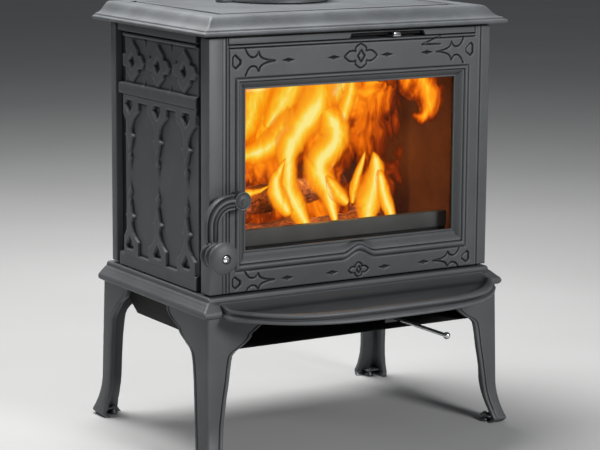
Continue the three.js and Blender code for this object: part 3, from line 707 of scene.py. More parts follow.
def ornament(u, v, z, tall, size, raise_by, cut):
    """The row of cut ornaments on one panel of the door."""
    deep = np.zeros(u.shape)
    for mirror, star, tip in ((1, -170.5, -206), (-1, 180.0, 213)):
        line = line_distance(u, v, fleur_lines(mirror, star, z, tall), closed=False)
        deep += cut * ridge(line, 2.1)
        hole = line_distance(u, v, pentagon(mirror, tip, z, tall))
        deep += cut * ridge(hole, 2.0) + 1.6 * inside(hole, 1.9)
    for x in (-118.9, -38.3, 58.9, 133.5):
        deep += 4.6 * np.sqrt(diamond(u, v, x, z, 12.0, 3.8, 0.9))
    cross = line_distance(u, v, cross_outline(10.6, z, size))
    deep += cut * ridge(cross, 2.1) - raise_by * inside(cross, 2.0)
    eye_x, half_high, half_wide = 11.2, 9.0 * size, 6.4 * size
    eye = [(eye_x, z + half_high), (eye_x + half_wide, z), (eye_x, z - half_high), (eye_x - half_wide, z)]
    deep += (cut + 0.4) * ridge(line_distance(u, v, eye), 2.3)
    return deep


def door_depth(x, z):
    rise = np.where(np.abs(x - BUMP_X) < BUMP_HALF, 0.5 + 0.5 * np.cos((x - BUMP_X) / BUMP_HALF * math.pi), 0)
    rise = BUMP_RISE * rise
    fade = np.clip((WINDOW[2] - 2 - z) / np.maximum(WINDOW[2] - 2 - 303 - rise, 0.5), 0, 1)
    flat_z = z - rise * fade
    across = np.maximum.reduce([
        (WINDOW[0] - x) / (WINDOW[0] - MOULD[0]), (x - WINDOW[1]) / (MOULD[1] - WINDOW[1]),
        (WINDOW[2] - flat_z) / (WINDOW[2] - MOULD[2]), (z - WINDOW[3]) / (MOULD[3] - WINDOW[3]),
    ])
    share, depth = zip(*MOULDING)
    deep = np.interp(across, share, depth)
    deep += ornament(x, z, UPPER_Z, 1.0, 1.0, 0.3, 3.3) * (z > 585)
    deep += ornament(x, z, LOWER_Z, 0.86, 0.62, 0.4, 3.2) * (z < 291)
    for line, half, amount in (
        (232.8, 2.3, -1.1), (236.6, 1.3, 1.8), (-224.2, 2.0, -0.9), (-221.0, 1.2, 1.8),
    ):
        deep += amount * ridge(x - line, half)
    middle = inside(box_distance(x, z, EAR_LEFT, EAR_RIGHT, 500, 700), 2.0)
    deep += middle * (3.0 * ridge(z - 628.2, 1.7) - 0.6 * ridge(z - 631.0, 1.6))
    wedge = [(124.5, 619.4), (158.5, 631.6)], [(124.5, 619.4), (158.5, 618.8)]
    for stroke in wedge:
        deep += 3.0 * ridge(line_distance(x, z, stroke, closed=False), 2.1)
    rim = -box_distance(x, z, *DOOR[:2], *DOOR[4:])
    notch = np.maximum(NOTCH_LOW - z, np.maximum(EAR_LEFT - x, x - EAR_RIGHT))
    rim = np.minimum(rim, notch)
    return deep + 1.3 * np.clip(1 - rim / 1.8, 0, 1) ** 2


def door_cells(x, z):
    window = box_distance(x, z, *WINDOW) < 0
    notch = box_distance(x, z, EAR_LEFT, EAR_RIGHT, NOTCH_LOW, 700) < 0
    return ~(window | notch)


def make_door():
    step = 0.96
    x_lines = grid_lines(
        (DOOR[0], EAR_LEFT, step), (EAR_LEFT, WINDOW[0], step), (WINDOW[0], WINDOW[1], step),
        (WINDOW[1], EAR_RIGHT, step), (EAR_RIGHT, DOOR[1], step),
    )
    z_lines = grid_lines(
        (DOOR[4], WINDOW[2], step), (WINDOW[2], 330, 3), (330, 556, 12), (556, WINDOW[3], 3),
        (WINDOW[3], NOTCH_LOW, step), (NOTCH_LOW, DOOR[5], step),
    )
    edit = relief_sheet(x_lines, z_lines, door_cells, door_depth)
    border = [e for e in edit.edges if e.is_boundary]
    back = DOOR[3]

    def at_window(edge):
        return all(box_distance(v.co.x, v.co.z, *WINDOW) < 0.5 for v in edge.verts)

    def wider(co):
        """Steps from the opening out to the rebate that holds the glass."""
        x = co.x + (REBATE if co.x > WINDOW[1] - 0.1 else -REBATE if co.x < WINDOW[0] + 0.1 else 0)
        z = co.z + (REBATE if co.z > WINDOW[3] - 0.1 else -REBATE if co.z < WINDOW[2] + 0.1 else 0)
        return Vector((x, co.y, z))

    opening = [e for e in border if at_window(e)]
    outer = [e for e in border if not at_window(e)]
    opening = carried_back(edit, opening, lambda co: Vector((co.x, GLASS[2] - 0.3, co.z)))
    opening = carried_back(edit, opening, wider)
    opening = carried_back(edit, opening, lambda co: Vector((co.x, back, co.z)))
    outer = carried_back(edit, outer, lambda co: Vector((co.x, back - 0.8, co.z)))
    outer = carried_back(edit, outer, lambda co: Vector((co.x, back, co.z)))
    bmesh.ops.triangle_fill(edit, use_beauty=False, edges=opening + outer)
    casting = piece("door_casting", taken(edit), relief_iron_painted_shade, "door", ["door_frame"], crease=60)
    mark_cavities(casting, 0, x_lines, z_lines, door_depth)


make_door()

# ---------------------------------------------------------------- side panels

PANEL = span("side_panel_left")
PANEL_FACE = 254.4
FIELD_DEEP, HOLE_DEEP, CHANNEL_DEEP = 4.8, 6.2, 9.0
FRIEZE_Z = 588.6
FRIEZE_Y = (81.5, 166.5, 251.5)
COLUMN_Y = (75.5, 169.0, 262.5)
# The right half of each ornament that hangs from the band, of each one below it, and of each cross.
PENDANT = [
    (31.5, 540), (31.5, 511), (27, 507.6), (20, 503), (13.5, 497), (9, 490), (6.8, 483), (7.4, 476),
    (10, 473), (17, 470.6), (10, 467.6), (7.4, 463), (5.6, 456), (2.8, 449), (0, 444.5),
]
FINIAL = [
    (29, 270), (29, 302), (24, 304.5), (17.5, 309.5), (11.5, 316.5), (7.2, 325), (5.8, 332), (8, 337.5),
    (16.6, 341.6), (9.6, 344.8), (7.4, 349), (5.6, 356), (2.8, 364), (0, 369),
]
FRIEZE_CROSS = [(0, 33), (8, 26), (18, 18.5), (19, 11.2), (31, 10.2), (38, 0)]


def both_sides(half, centre, base=0.0):
    """A closed outline from its right half, listed from top to bottom or from bottom to top."""
    mirrored = [(centre - u, base + v) for u, v in half[::-1] if u > 0]
    return [(centre + u, base + v) for u, v in half] + mirrored


def panel_depth(y, z):
    raised = np.zeros(y.shape)
    holes = np.zeros(y.shape)

    def add(distance):
        np.maximum(raised, inside(distance, 1.9), out=raised)

    for centre in FRIEZE_Y:
        add(line_distance(y, z, both_sides(with_lower(FRIEZE_CROSS), centre, FRIEZE_Z)))
        hole = line_distance(y, z, both_sides([(0, 12.4), (10.8, 0), (0, -12.4)], centre, FRIEZE_Z))
        holes += HOLE_DEEP * inside(hole, 2.4)
    for centre in (127.0, 212.0):
        for tip, edge in ((613.0, 625.5), (564.0, 551.5)):
            notch = line_distance(y, z, [(centre - 4.4, edge), (centre + 4.4, edge), (centre, tip)])
            holes += 2.6 * inside(notch, 1.6)
    for centre in COLUMN_Y:
        add(line_distance(y, z, both_sides(PENDANT, centre)))
        add(line_distance(y, z, both_sides(FINIAL, centre)))
        for stud in (434.4, 379.6):
            add(line_distance(y, z, both_sides([(0, 8), (5.6, 0), (0, -8)], centre, stud)))
        for outline in ([(10, 525.5), (13.3, 519.5), (0, 504)], [(10, 287.5), (12.6, 293.5), (0, 309)]):
            holes += HOLE_DEEP * inside(line_distance(y, z, both_sides(outline, centre)), 2.4)
    for low, high in ((533, 553.4), (524.4, 534), (626.2, 631.2), (633.2, 700), (200, 280.2)):
        add(np.maximum(low - z, z - high))
    deep = FIELD_DEEP * (1 - raised) + holes
    deep += 1.6 * (ridge(z - 552.4, 1.3) + ridge(z - 534.2, 1.3)) + 1.3 * ridge(z - 276.6, 1.2)
    deep -= 0.5 * ridge(z - 628.6, 2.4)
    rear_channel = inside(282.0 - y, 2.0) * (1 - inside(np.minimum.reduce([
        np.maximum(534 - z, z - 552), 633 - z, z - 279,
    ]), 2.0))
    deep += CHANNEL_DEEP * rear_channel
    gap = inside(297.5 - y, 1.6) + inside(y - 42.5, 1.6)
    return np.minimum(deep + CHANNEL_DEEP * gap, PANEL_FACE - 244.2)


def make_side_panel(side, node):
    step = 1.2
    y_lines = grid_lines((PANEL[2], PANEL[3], step))
    z_lines = grid_lines(
        (PANEL[4], 278, 2.4), (278, 371, step), (371, 374, 3), (374, 386, step), (386, 428, 6),
        (428, PANEL[5], step),
    )
    edit = relief_sheet(y_lines, z_lines, lambda y, z: y > 0, panel_depth)
    border = [e for e in edit.edges if e.is_boundary]
    back = carried_back(edit, border, lambda co: Vector((co.x, PANEL_FACE - 243.0, co.z)))
    bmesh.ops.triangle_fill(edit, use_beauty=False, edges=back)
    points, faces = taken(edit)
    turned = np.stack([side * (PANEL_FACE - points[:, 1]), points[:, 0], points[:, 2]], 1)
    casting = piece(node + "_casting", (turned, faces), relief_iron_painted_shade, "stove", [node], crease=60)
    mark_cavities(casting, 1, y_lines, z_lines, panel_depth)
    # Painted shade: the floors of the gaps at the front and rear edges of the panel are made near black.
    for y0, y1, x in ((PANEL[2] - 1, 43.4, 253.8), (281, PANEL[3] + 1, 248.5)):
        set_cavity(casting, (-x, x, y0, y1, PANEL[4] - 1, PANEL[5] + 1), 1.0)


make_side_panel(-1, "side_panel_left")
make_side_panel(1, "side_panel_right")

# ---------------------------------------------------------------- top plate and flue collar

BODY_HALF = (body_high.x - body_low.x) / 2 / MM
TOP = span("top_plate")
COLLAR = span("flue_collar")
FLUE_Y = centre_of("flue_collar")[1]
TOP_HIGH = TOP[5]
CORNER_STEPS = 6
LUG_X = 97


def plan_loop(x0, x1, y0, y1, z, corner=3.0, notch=None):
    """A rectangle in plan with two rounded front corners. notch sets back its front between two x."""
    loop = [(x0, y1, z)]
    for centre, start in (((x0 + corner, y0 + corner), 180), ((x1 - corner, y0 + corner), 270)):
        loop += [(u, v, z) for u, v in arc(centre, corner, start, start + 90, CORNER_STEPS)]
        if notch and start == 180:
            half, back = notch
            loop += [(-half, y0, z), (-half, back, z), (half, back, z), (half, y0, z)]
    return loop + [(x1, y1, z)]


def edge_loop(out, z, rear, notch=None):
    """A loop that stands out beyond the body at the front and at both sides."""
    half = BODY_HALF + out
    return plan_loop(-half, half, -out, rear, z, notch=notch)


def to_circle(loop, radius, z):
    """The points of a loop brought onto a circle round the flue."""
    ring = []
    for x, y, _ in loop:
        reach = math.hypot(x, y - FLUE_Y)
        ring.append((x / reach * radius, FLUE_Y + (y - FLUE_Y) / reach * radius, z))
    return ring


# The edge of the top plate from its underside up to its field: how far out from the body, and height.
TOP_EDGE = [
    (8, 647.9), (16.2, 647.9), (19.4, 649.2), (21.0, 651.6), (19.2, 654.4), (15.6, 654.9), (14.8, 657.8),
    (10.4, 658.5), (6.0, 661.0), (2.2, 664.9), (-1.2, 669.4), (-4.4, 673.0), (-7.4, 675.3), (-10.4, 676),
]


def make_top():
    cavity = [plan_loop(-243, 243, 12, 320, z) for z in (663, TOP[4])]
    rim = [edge_loop(out, z, TOP[3]) for out, z in smooth_line(TOP_EDGE, 2)]
    field = [
        plan_loop(-x, x, y, 330 - (40 - y), z, 4)
        for x, y, z in (
            (220.0, 34.0, TOP_HIGH), (219.2, 34.8, TOP_HIGH - 0.5), (218.2, 35.8, TOP_HIGH - 2.6),
            (216.4, 37.6, TOP_HIGH - 3.4), (209.6, 44.4, TOP_HIGH - 3.4), (208.2, 45.8, TOP_HIGH - 2.8),
            (207.6, 46.4, TOP_HIGH - 0.8), (207.0, 47.0, TOP_HIGH - 0.25), (206.6, 47.4, TOP_HIGH - 0.1),
            (202.0, 52.0, TOP_HIGH - 0.1),
        )
    ]
    hole = [to_circle(field[-1], 74, TOP_HIGH - 0.1), to_circle(cavity[0], 74, 663)]
    shape = loft(cavity + rim + field + hole, closed=True)
    top = piece("top_plate_casting", shape, rough_iron, "stove", ["top_plate"], crease=50)
    # Painted shade, near black, in the groove round the field; the flat field is set to a half, so it gets no
    # painted shade or highlight.
    set_cavity(top, (-221, 221, 33, 330, TOP_HIGH - 3.6, TOP_HIGH - 0.2), 1.0)
    set_cavity(top, (-206.8, 206.8, 47, 330, TOP_HIGH - 0.15, TOP_HIGH), 0.5)


def make_collar():
    low, high = COLLAR[4], COLLAR[5]
    profile = smooth_line([
        (72, low), (85, low), (85, low + 5), (82.6, low + 8), (82.6, high - 8), (85, high - 5.5),
        (85, high - 1.5), (84, high), (77, high), (76, high - 1), (76, low + 8), (72, low + 8),
    ], 1, closed=True)
    lugs = []
    for side in (-1, 1):
        tab = arc((side * LUG_X, FLUE_Y), 11, -90 if side > 0 else 90, 90 if side > 0 else 270, 14)
        tab += [(side * 80, FLUE_Y + side * 11), (side * 80, FLUE_Y - side * 11)]
        lugs.append(soften(prism(tab, "z", low, low + 5.7), 1.0))
    shape = merge(lathe(profile, (0, FLUE_Y, 0), segments=96), *lugs)
    piece("flue_collar_casting", shape, iron, "stove", ["flue_collar"], crease=50)
    for side, node in ((-1, "collar_bolt_left"), (1, "collar_bolt_right")):
        x = side * LUG_X
        line = smooth_line([(0, low + 5.8), (8, low + 5.8), (8, low + 7.2), (0, low + 7.2)], 1)
        washer = lathe(line, (x, FLUE_Y, 0))
        head = soften(prism(hexagon(x, FLUE_Y, 10, 0.3), "z", low + 7, low + 11), 0.7)
        shank = lathe([(0, 665), (3, 665), (3, low + 7.1), (0, low + 7.1)], (x, FLUE_Y, 0), segments=24)
        piece(node + "_fine", merge(washer, head, shank), dark_steel, "stove", [node])


make_top()
make_collar()

# ---------------------------------------------------------------- base plate and ash lip

BASE = span("base_plate")
LIP = span("ash_lip")
LIP_SEAT = (LIP[1] + 0.3, LIP[3] + 0.3)
SEAT_TOP = 248.2
# The edge of the base plate below and above the seat of the lip: how far out from the body, and height.
BASE_EDGE = [
    (8, 226.5), (13, 226.5), (16.8, 227.2), (19.4, 230), (20.0, 233.8), (18.4, 237.4), (15.0, 240.2),
    (12.4, 242.8), (9.8, 245.0), (8.0, 247.0), (6.4, SEAT_TOP),
]
BASE_TOP_EDGE = [(6.4, SEAT_TOP), (4.0, 249.6), (3.6, 253.6), (1.6, 256), (-4, 256)]


def make_base():
    def low_loop(out, z):
        return edge_loop(out, z, BASE[3], notch=LIP_SEAT)

    def high_loop(out, z):
        return edge_loop(out, z, BASE[3], notch=(LIP_SEAT[0], -out))

    cavity = [plan_loop(-244, 244, 2, 312, z, notch=(LIP_SEAT[0] - 8, 2)) for z in (243, BASE[4])]
    rim = [low_loop(out, z) for out, z in smooth_line(BASE_EDGE, 2)]
    rim += [high_loop(out, z) for out, z in smooth_line(BASE_TOP_EDGE, 2)]
    plinth = [plan_loop(-246, 246, 26, 316, z, notch=(230, 26)) for z in (256, BASE[5])]
    shapes = [loft(cavity + rim + plinth)]
    rod_x = centre_of("pull_rod")[0]
    for side in (-1, 1):
        near, far, toe = rod_x + side * 44.6, rod_x + side * 50, rod_x + side * 40
        shapes.append(block(min(near, far), max(near, far), 12, 150, 231, 243.5))
        shapes.append(block(min(toe, far), max(toe, far), 12, 150, 231, 234))
    piece("base_plate_casting", merge(*shapes), iron, "stove", ["base_plate"], crease=50)


# The bowed lip, from its underside over two beads into its hollow: where its sides are cut, half width of
# the bow, how far forward the bow starts, its reach, its shoulder, height, and how far back it is shifted.
LIP_PROFILE = [
    (236.0, 250.0, 15, 112.0, 3.3, 226.5, 0), (241.5, 254.5, 17, 116.4, 3.3, 226.9, 0),
    (243.0, 255.8, 17.8, 117.8, 3.3, 228.3, 0), (243.2, 256.0, 18, 118.0, 3.3, 229.9, 0),
    (242.6, 255.2, 17.6, 117.0, 3.35, 231.5, 0), (240.6, 251.0, 15.6, 112.6, 3.7, 232.7, 0),
    (239.8, 248.0, 14.4, 108.6, 4.2, 233.7, 0), (239.6, 246.4, 14.0, 107.0, 4.4, 235.0, 0),
    (240.0, 246.4, 14.0, 106.8, 4.5, 236.8, 0), (240.8, 247.4, 14.0, 107.2, 4.6, 238.2, 0),
    (241.2, 248.0, 14.0, 107.0, 4.6, 239.9, 0), (240.6, 247.4, 13.8, 106.2, 4.6, 241.5, 0),
    (239.2, 246.0, 13.2, 104.4, 4.5, 242.4, 0), (237.6, 243.6, 12.4, 100.4, 4.4, 242.5, 0),
    (236.4, 241.8, 11.0, 94.6, 4.3, 242.0, -2), (235.0, 240.0, 9.0, 88.0, 4.3, 240.4, -5),
    (231.0, 236.0, 7.0, 81.0, 4.3, 237.2, -9), (224.0, 229.0, 6.0, 73.0, 4.3, 234.2, -14),
    (212.0, 217.0, 6.0, 60.0, 4.2, 232.2, -22), (190.0, 195.0, 6.0, 44.0, 4.0, 231.2, -30),
    (140.0, 145.0, 6.0, 24.0, 3.6, 231.0, -38),
]


def make_lip():
    loops = []
    steps = 64
    for cut, half, lead, reach, shoulder, z, back in LIP_PROFILE:
        x = -cut * np.cos(np.linspace(0, math.pi, steps + 1))
        y = LIP[3] + back - lead - reach * (1 - (np.abs(x) / half) ** shoulder)
        x = np.concatenate([x, [cut, -cut]])
        y = np.concatenate([y, [LIP[3] + back, LIP[3] + back]])
        lift = 4.4 * np.clip((y + 44) / 35, 0, 1) ** 2 * (z > 237)
        loops.append(np.stack([x, y, z + lift], 1))
    piece("ash_lip_casting", loft(loops), iron, "stove", ["ash_lip"], crease=60)


make_base()
make_lip()

# ---------------------------------------------------------------- legs

LEG_X, LEG_FRONT, LEG_REAR, LEG_TOP = 266.6, -13.7, 332.0, 226.2
WALL = 8.0
FOOT_OUT_X, LEAN_X, LEAN_Y, HOOF = 12.4, 3.5, 7.0, 8.0
# The bolting shelf inside the top of a leg, and the riser on it that reaches up into the base plate.
SHELF_IN, SHELF_BACK, SHELF_LOW = 204, 64, 218
RISER_OUT, RISER_HALF, RISER_TOP = 243, 22, 242.7
BOLT_SEAT, BOLT_TOP = 217, 253.5
# Width of a leg's front or rear wall and of its side wall, by height.
FRONT_WIDTHS = [
    (0, 26, 37), (22, 26, 38), (60, 28, 40), (100, 33, 41.5), (130, 38, 43), (156, 41, 46), (168, 44, 50),
    (174, 50, 56), (178, 58, 64), (183, 66, 73), (189, 74, 85), (193, 77, 89), (199, 79, 92), (201, 84, 98),
    (206, 90, 108), (211, 97, 120), (216, 99, 125), (218, 100, 128), (LEG_TOP, 100, 130),
]
REAR_WIDTHS = [
    (0, 42, 38), (8, 44, 40), (22, 38, 34), (42, 34, 30), (60, 33, 29), (100, 33.5, 30), (130, 34.5, 31),
    (156, 36.5, 33), (168, 38.5, 35), (174, 41.5, 38), (178, 45, 41), (183, 51.5, 45), (189, 60.5, 50),
    (193, 66, 54), (199, 70, 58), (201, 75, 62), (206, 81, 69), (211, 88, 77), (216, 91, 80), (218, 92, 81),
    (LEG_TOP, 94, 84),
]


def leg_section(along, back, bead):
    """Plan outline of an L-section leg with a bead down each free edge; the outer corner is at 0, 0."""
    def free_edge(width, flip):
        line = [
            (width, 6.4), (width, 1.8), (width - 0.6, 0.4 - 0.6 * bead), (width - 2.0, -1.1 * bead),
            (width - 4.2, -1.1 * bead), (width - 5.6, -0.4 * bead), (width - 6.4, 1.3 * bead),
            (width - 7.6, 1.4 * bead), (width - 8.4, 0.1 * bead), (width - 9.6, 0.0), (width * 0.55, 0.0),
        ]
        return [(v, u) for u, v in line] if flip else line

    outside = free_edge(along, False) + [(5.5, 0), (2.4, 0.45), (0.45, 2.4), (0, 5.5)]
    outside += free_edge(back, True)[::-1]
    inner = [(WALL, back - 0.8), (WALL, back * 0.5), (WALL, 12.5), (9.3, 9.3), (12.5, WALL)]
    return outside + inner + [(along * 0.5, WALL), (along - 0.8, WALL)]


def stand_out(z, foot_out, lean):
    """How far a leg stands outside its upper corner: its lean and the flare of its foot above the hoof."""
    flare_out = foot_out - lean * (1 - HOOF / LEG_TOP)
    if z < HOOF:
        share = 0.5 + 0.5 * math.sin(z / HOOF * math.pi / 2)
    else:
        share = max(0.0, 1 - (z - HOOF) / 60) ** 2
    return lean * (1 - z / LEG_TOP) + flare_out * share


def make_leg(node, side, front):
    widths = FRONT_WIDTHS if front else REAR_WIDTHS
    corner_y, inward, foot_out = (LEG_FRONT, 1, 23.5) if front else (LEG_REAR, -1, 22.7)
    heights, alongs, backs = zip(*widths)
    levels = np.concatenate([
        np.linspace(0, HOOF, 7), np.linspace(11, 68, 20), np.linspace(76, 160, 9),
        np.linspace(164, LEG_TOP, 40),
    ])
    loops = []
    for z in levels:
        out_x = stand_out(z, FOOT_OUT_X, LEAN_X)
        out_y = stand_out(z, foot_out, LEAN_Y)
        bead = float(np.clip((z - HOOF) / 18, 0, 1))
        loop = []
        for u, v in leg_section(np.interp(z, heights, alongs), np.interp(z, heights, backs), bead):
            loop.append((side * (LEG_X + out_x - u), corner_y + inward * (v - out_y), z))
        loops.append(loop)
    boss_x = side * (LEG_X - 15)
    boss_y = corner_y + inward * (2 if front else 1)
    riser_middle = 27 if front else 289
    shelf_x = sorted((side * (LEG_X - 2), side * SHELF_IN))
    shelf_y = sorted((corner_y + inward * 2, corner_y + inward * SHELF_BACK))
    riser_x = sorted((side * RISER_OUT, side * SHELF_IN))
    riser_y = (riser_middle - RISER_HALF, riser_middle + RISER_HALF)
    pad_x = sorted((side * (LEG_X + 6), boss_x - side * 5))
    pad_y = sorted((corner_y - inward * 15.5, boss_y + inward * 6))
    shape = merge(
        loft(loops),
        block(*shelf_x, *shelf_y, SHELF_LOW, LEG_TOP), block(*riser_x, *riser_y, LEG_TOP - 1, RISER_TOP),
        block(*pad_x, *pad_y, 9, 12, 1.2),
        lathe(smooth_line([(0, 8.5), (7, 8.5), (7, 13), (0, 13)], 2), (boss_x, boss_y, 0), segments=32),
    )
    piece(node + "_casting", shape, iron, "stove", [node], crease=50)
    foot = smooth_line([(0, 0), (7.4, 0), (7.5, 5.2), (4, 5.4), (4, 13.5), (3.4, 15.5), (0, 16)], 1)
    bolt = "levelling_bolt_" + node[4:]
    turned_piece(bolt, foot, (boss_x, boss_y, 0), "z", 32, dark_steel)
    bolt = "leg_bolt_" + node[4:]
    x, y, _ = centre_of(bolt)
    head = soften(prism(hexagon(x, y, 13), "z", BOLT_SEAT - 6, BOLT_SEAT), 0.9)
    low, high = BOLT_SEAT - 0.4, BOLT_SEAT + 0.8
    washer = lathe([(0, low), (9, low), (9, high), (0, high)], (x, y, 0), segments=32)
    shank = lathe([(0, BOLT_SEAT), (4, BOLT_SEAT), (4, BOLT_TOP), (0, BOLT_TOP)], (x, y, 0), segments=24)
    piece(bolt + "_fine", merge(head, washer, shank), dark_steel, "stove", [bolt])


for node, side, front in (
    ("leg_front_left", -1, True), ("leg_front_right", 1, True),
    ("leg_rear_left", -1, False), ("leg_rear_right", 1, False),
):
    make_leg(node, side, front)

# ---------------------------------------------------------------- frames, shields and lining

FRAME = span("front_frame")
# The outer edges of the frame's rear sheet are set in, which leaves a dark gap before the side panels.
SHEET_FRONT, NOTCH_IN = 26.0, 249.2
# Another dark gap runs under the top plate, along the front of the frame and round its corners.
GAP_LOW, GAP_IN = 643.2, 3.4


def make_front_frame():
    high, edge, inner = FRAME[5] + 2, FRAME[1] + 2, FRAME[1] - GAP_IN
    cuts = [(-edge, edge, FRAME[2] - 2, FRAME[2] + GAP_IN, GAP_LOW, high)]
    for side in (-1, 1):
        cuts.append((*sorted((side * NOTCH_IN, side * edge)), SHEET_FRONT, FRAME[3] + 2, FRAME[4] - 2, high))
        cuts.append((*sorted((side * inner, side * edge)), FRAME[2] + 1, SHEET_FRONT + 1, GAP_LOW, high))
    shape = cad_shape("front_frame")
    for cut in cuts:
        shape = cut_out(shape, cuboid(*cut))
    shape = soften(shape, 0.5)
    casting = piece("front_frame_fine", shape, iron, "stove", ["front_frame"])
    # Painted shade: the walls of the gaps under the top plate and before the side panels are made near black.
    walls = [(-edge, edge, FRAME[2] + GAP_IN - 1, FRAME[2] + GAP_IN + 1)]
    walls += [(x - 1, x + 1, FRAME[2] + 1, SHEET_FRONT + 2) for x in (-inner, inner)]
    for wall in walls:
        set_cavity(casting, (*wall, GAP_LOW - 0.6, high), 1.0)


make_front_frame()
for node, width, material, slot_name in (
    ("rear_frame", 2.2, iron, "painted_iron"),
    ("rear_heat_shield", 0.5, sheet, "sheet_steel"),
    ("shield_bracket_left", 0.5, sheet, "sheet_steel"), ("shield_bracket_right", 0.5, sheet, "sheet_steel"),
    ("rod_guide", 0.6, dark_steel, "dark_steel"), ("latch_keeper", 0.8, dark_steel, "dark_steel"),
    ("burn_plate_left", 1.2, board, "fire_board"), ("burn_plate_right", 1.2, board, "fire_board"),
    ("burn_plate_rear", 1.2, board, "fire_board"), ("baffle_plate", 1.2, board, "fire_board"),
    ("airwash_deflector", 0.6, burnt, "burnt_iron"), ("grate", 1.2, burnt, "burnt_iron"),
):
    detailed(node, width, material)
SHIELD = span("bottom_heat_shield")
FLANGE = [(0, 0), (-9, 15), (-20.4, 43), (-21.8, 42.6), (-10.4, 14.2), (-1.6, -1.4)]
edge_x = abs(SHIELD[0]) - 1.6
tray = [block(*SHIELD, 0.5)]
for side in (-1, 1):
    outline = [(side * (edge_x - u), SHIELD[5] + v) for u, v in FLANGE]
    tray.append(soften(prism(outline, "y", SHIELD[2] + 0.5, SHIELD[3] - 0.5), 0.3))
# Painted shade: the tray is made near black for the shadow of the ash lip over it.
piece("bottom_shield_tray", merge(*tray), soot_and_shade, "stove", ["bottom_heat_shield"], 50)
GUARD = span("log_guard")
GUARD_BAR_LOW = 318.0
bar = block(*GUARD[:4], GUARD_BAR_LOW, GUARD[5], 1.6, 3)
piece("log_guard_bar", bar, burnt, "stove", ["log_guard"])
skirt = block(GUARD[0], GUARD[1], GUARD[2] + 4, GUARD[3], GUARD[4], GUARD_BAR_LOW - 0.1, 0.8)
piece("log_guard_skirt", skirt, soot_and_shade, "stove")
detailed("primary_air_damper", 0.7, dark_steel, "air_rod")
# Painted shade: the air slider is made near black for the shade it lies in.
detailed("air_slider", 0.5, soot_and_shade, "air_slide")
for place in ("upper_left", "upper_right", "lower_left", "lower_right"):
    detailed("glass_clip_" + place, 0.6, dark_steel, "door")

# ---------------------------------------------------------------- air controls

detailed("air_knob", 1.3, bright, "air_slide", 3)
ROD = span("pull_rod")
ROD_X, _, ROD_Z = centre_of("pull_rod")
ROD_R = (ROD[1] - ROD[0]) / 2
BALL = span("rod_ball")
BALL_Y, BALL_R = centre_of("rod_ball")[1], (BALL[1] - BALL[0]) / 2
rod_line = [(0, BALL_Y + 4), (ROD_R, BALL_Y + 4.2), (ROD_R, ROD[3] - 1), (ROD_R - 0.8, ROD[3]), (0, ROD[3])]
turned_piece("pull_rod", rod_line, (ROD_X, 0, ROD_Z), "y", 32, bright, "air_rod")
ball_line = [(0, BALL[2])] + arc((0, BALL_Y), BALL_R, -70, 62, 18) + [(0, BALL[3])]
turned_piece("rod_ball", ball_line, (ROD_X, 0, ROD_Z), "y", 40, bright, "air_rod")

# ---------------------------------------------------------------- door glass, seals and pins

piece("door_glass_pane", block(*GLASS, 0.7), glass, "door", ["door_glass"])


def rope_ring(node, corner, width):
    """A twisted rope laid in a rectangle with rounded corners, filling the box of its CAD node."""
    sides, pitch = 12, 9.0
    x0, x1, y0, y1, z0, z1 = span(node)
    half_w, half_y = width / 2, (y1 - y0) / 2
    x0, x1, z0, z1 = x0 + half_w, x1 - half_w, z0 + half_w, z1 - half_w
    path = []
    for centre, start in (
        ((x1 - corner, z1 - corner), 0), ((x0 + corner, z1 - corner), 90),
        ((x0 + corner, z0 + corner), 180), ((x1 - corner, z0 + corner), 270),
    ):
        path += arc(centre, corner, start, start + 90, 6)
    path.append(path[0])
    dense = []
    for a, b in zip(path, path[1:]):
        count = max(1, round(math.dist(a, b) / 3.0))
        dense += [(a[0] + (b[0] - a[0]) * i / count, a[1] + (b[1] - a[1]) * i / count) for i in range(count)]
    loops = []
    travelled = 0.0
    for i, (x, z) in enumerate(dense):
        nx, nz, length = normal_at(dense, i, closed=True)
        travelled += length / 2
        loop = []
        for k in range(sides):
            turn = 2 * math.pi * k / sides
            swell = 0.90 + 0.09 * math.cos(4 * (turn + travelled / pitch))
            u, w = half_w * swell * math.cos(turn), half_y * swell * math.sin(turn)
            loop.append((x + nx * u, (y0 + y1) / 2 + w, z + nz * u))
        loops.append(loop)
    piece(node + "_rope", loft(loops, closed=True), rope, "door", [node], crease=80)


rope_ring("glass_seal", 4.6, 9.0)
rope_ring("door_rope_seal", 9.0, 7.0)
DOOR_NODES = frame["record"]["behaviour"]["bodies"]["door"]
for node in ("hinge_pin_lower", "hinge_pin_upper"):
    x0, x1, y0, y1, z0, z1 = span(node)
    radius = (x1 - x0) / 2
    line = [(0, z0), (radius - 1, z0), (radius, z0 + 1), (radius, z1 - 1), (radius - 1, z1), (0, z1)]
    body = "door" if node in DOOR_NODES else "stove"
    centre = ((x0 + x1) / 2, (y0 + y1) / 2, 0)
    turned_piece(node, line, centre, "z", 32, dark_steel, body)

# ---------------------------------------------------------------- handle

SHAFT = span("handle_shaft")
PIVOT = centre_of("handle_shaft")[0::2]
KNOB = span("handle_knob")
KNOB_X, _, KNOB_Z = centre_of("handle_knob")
KNOB_Y = KNOB[2] + 9.4
KNOB_R = (KNOB[1] - KNOB[0]) / 2
ARM_BEND = 34.0
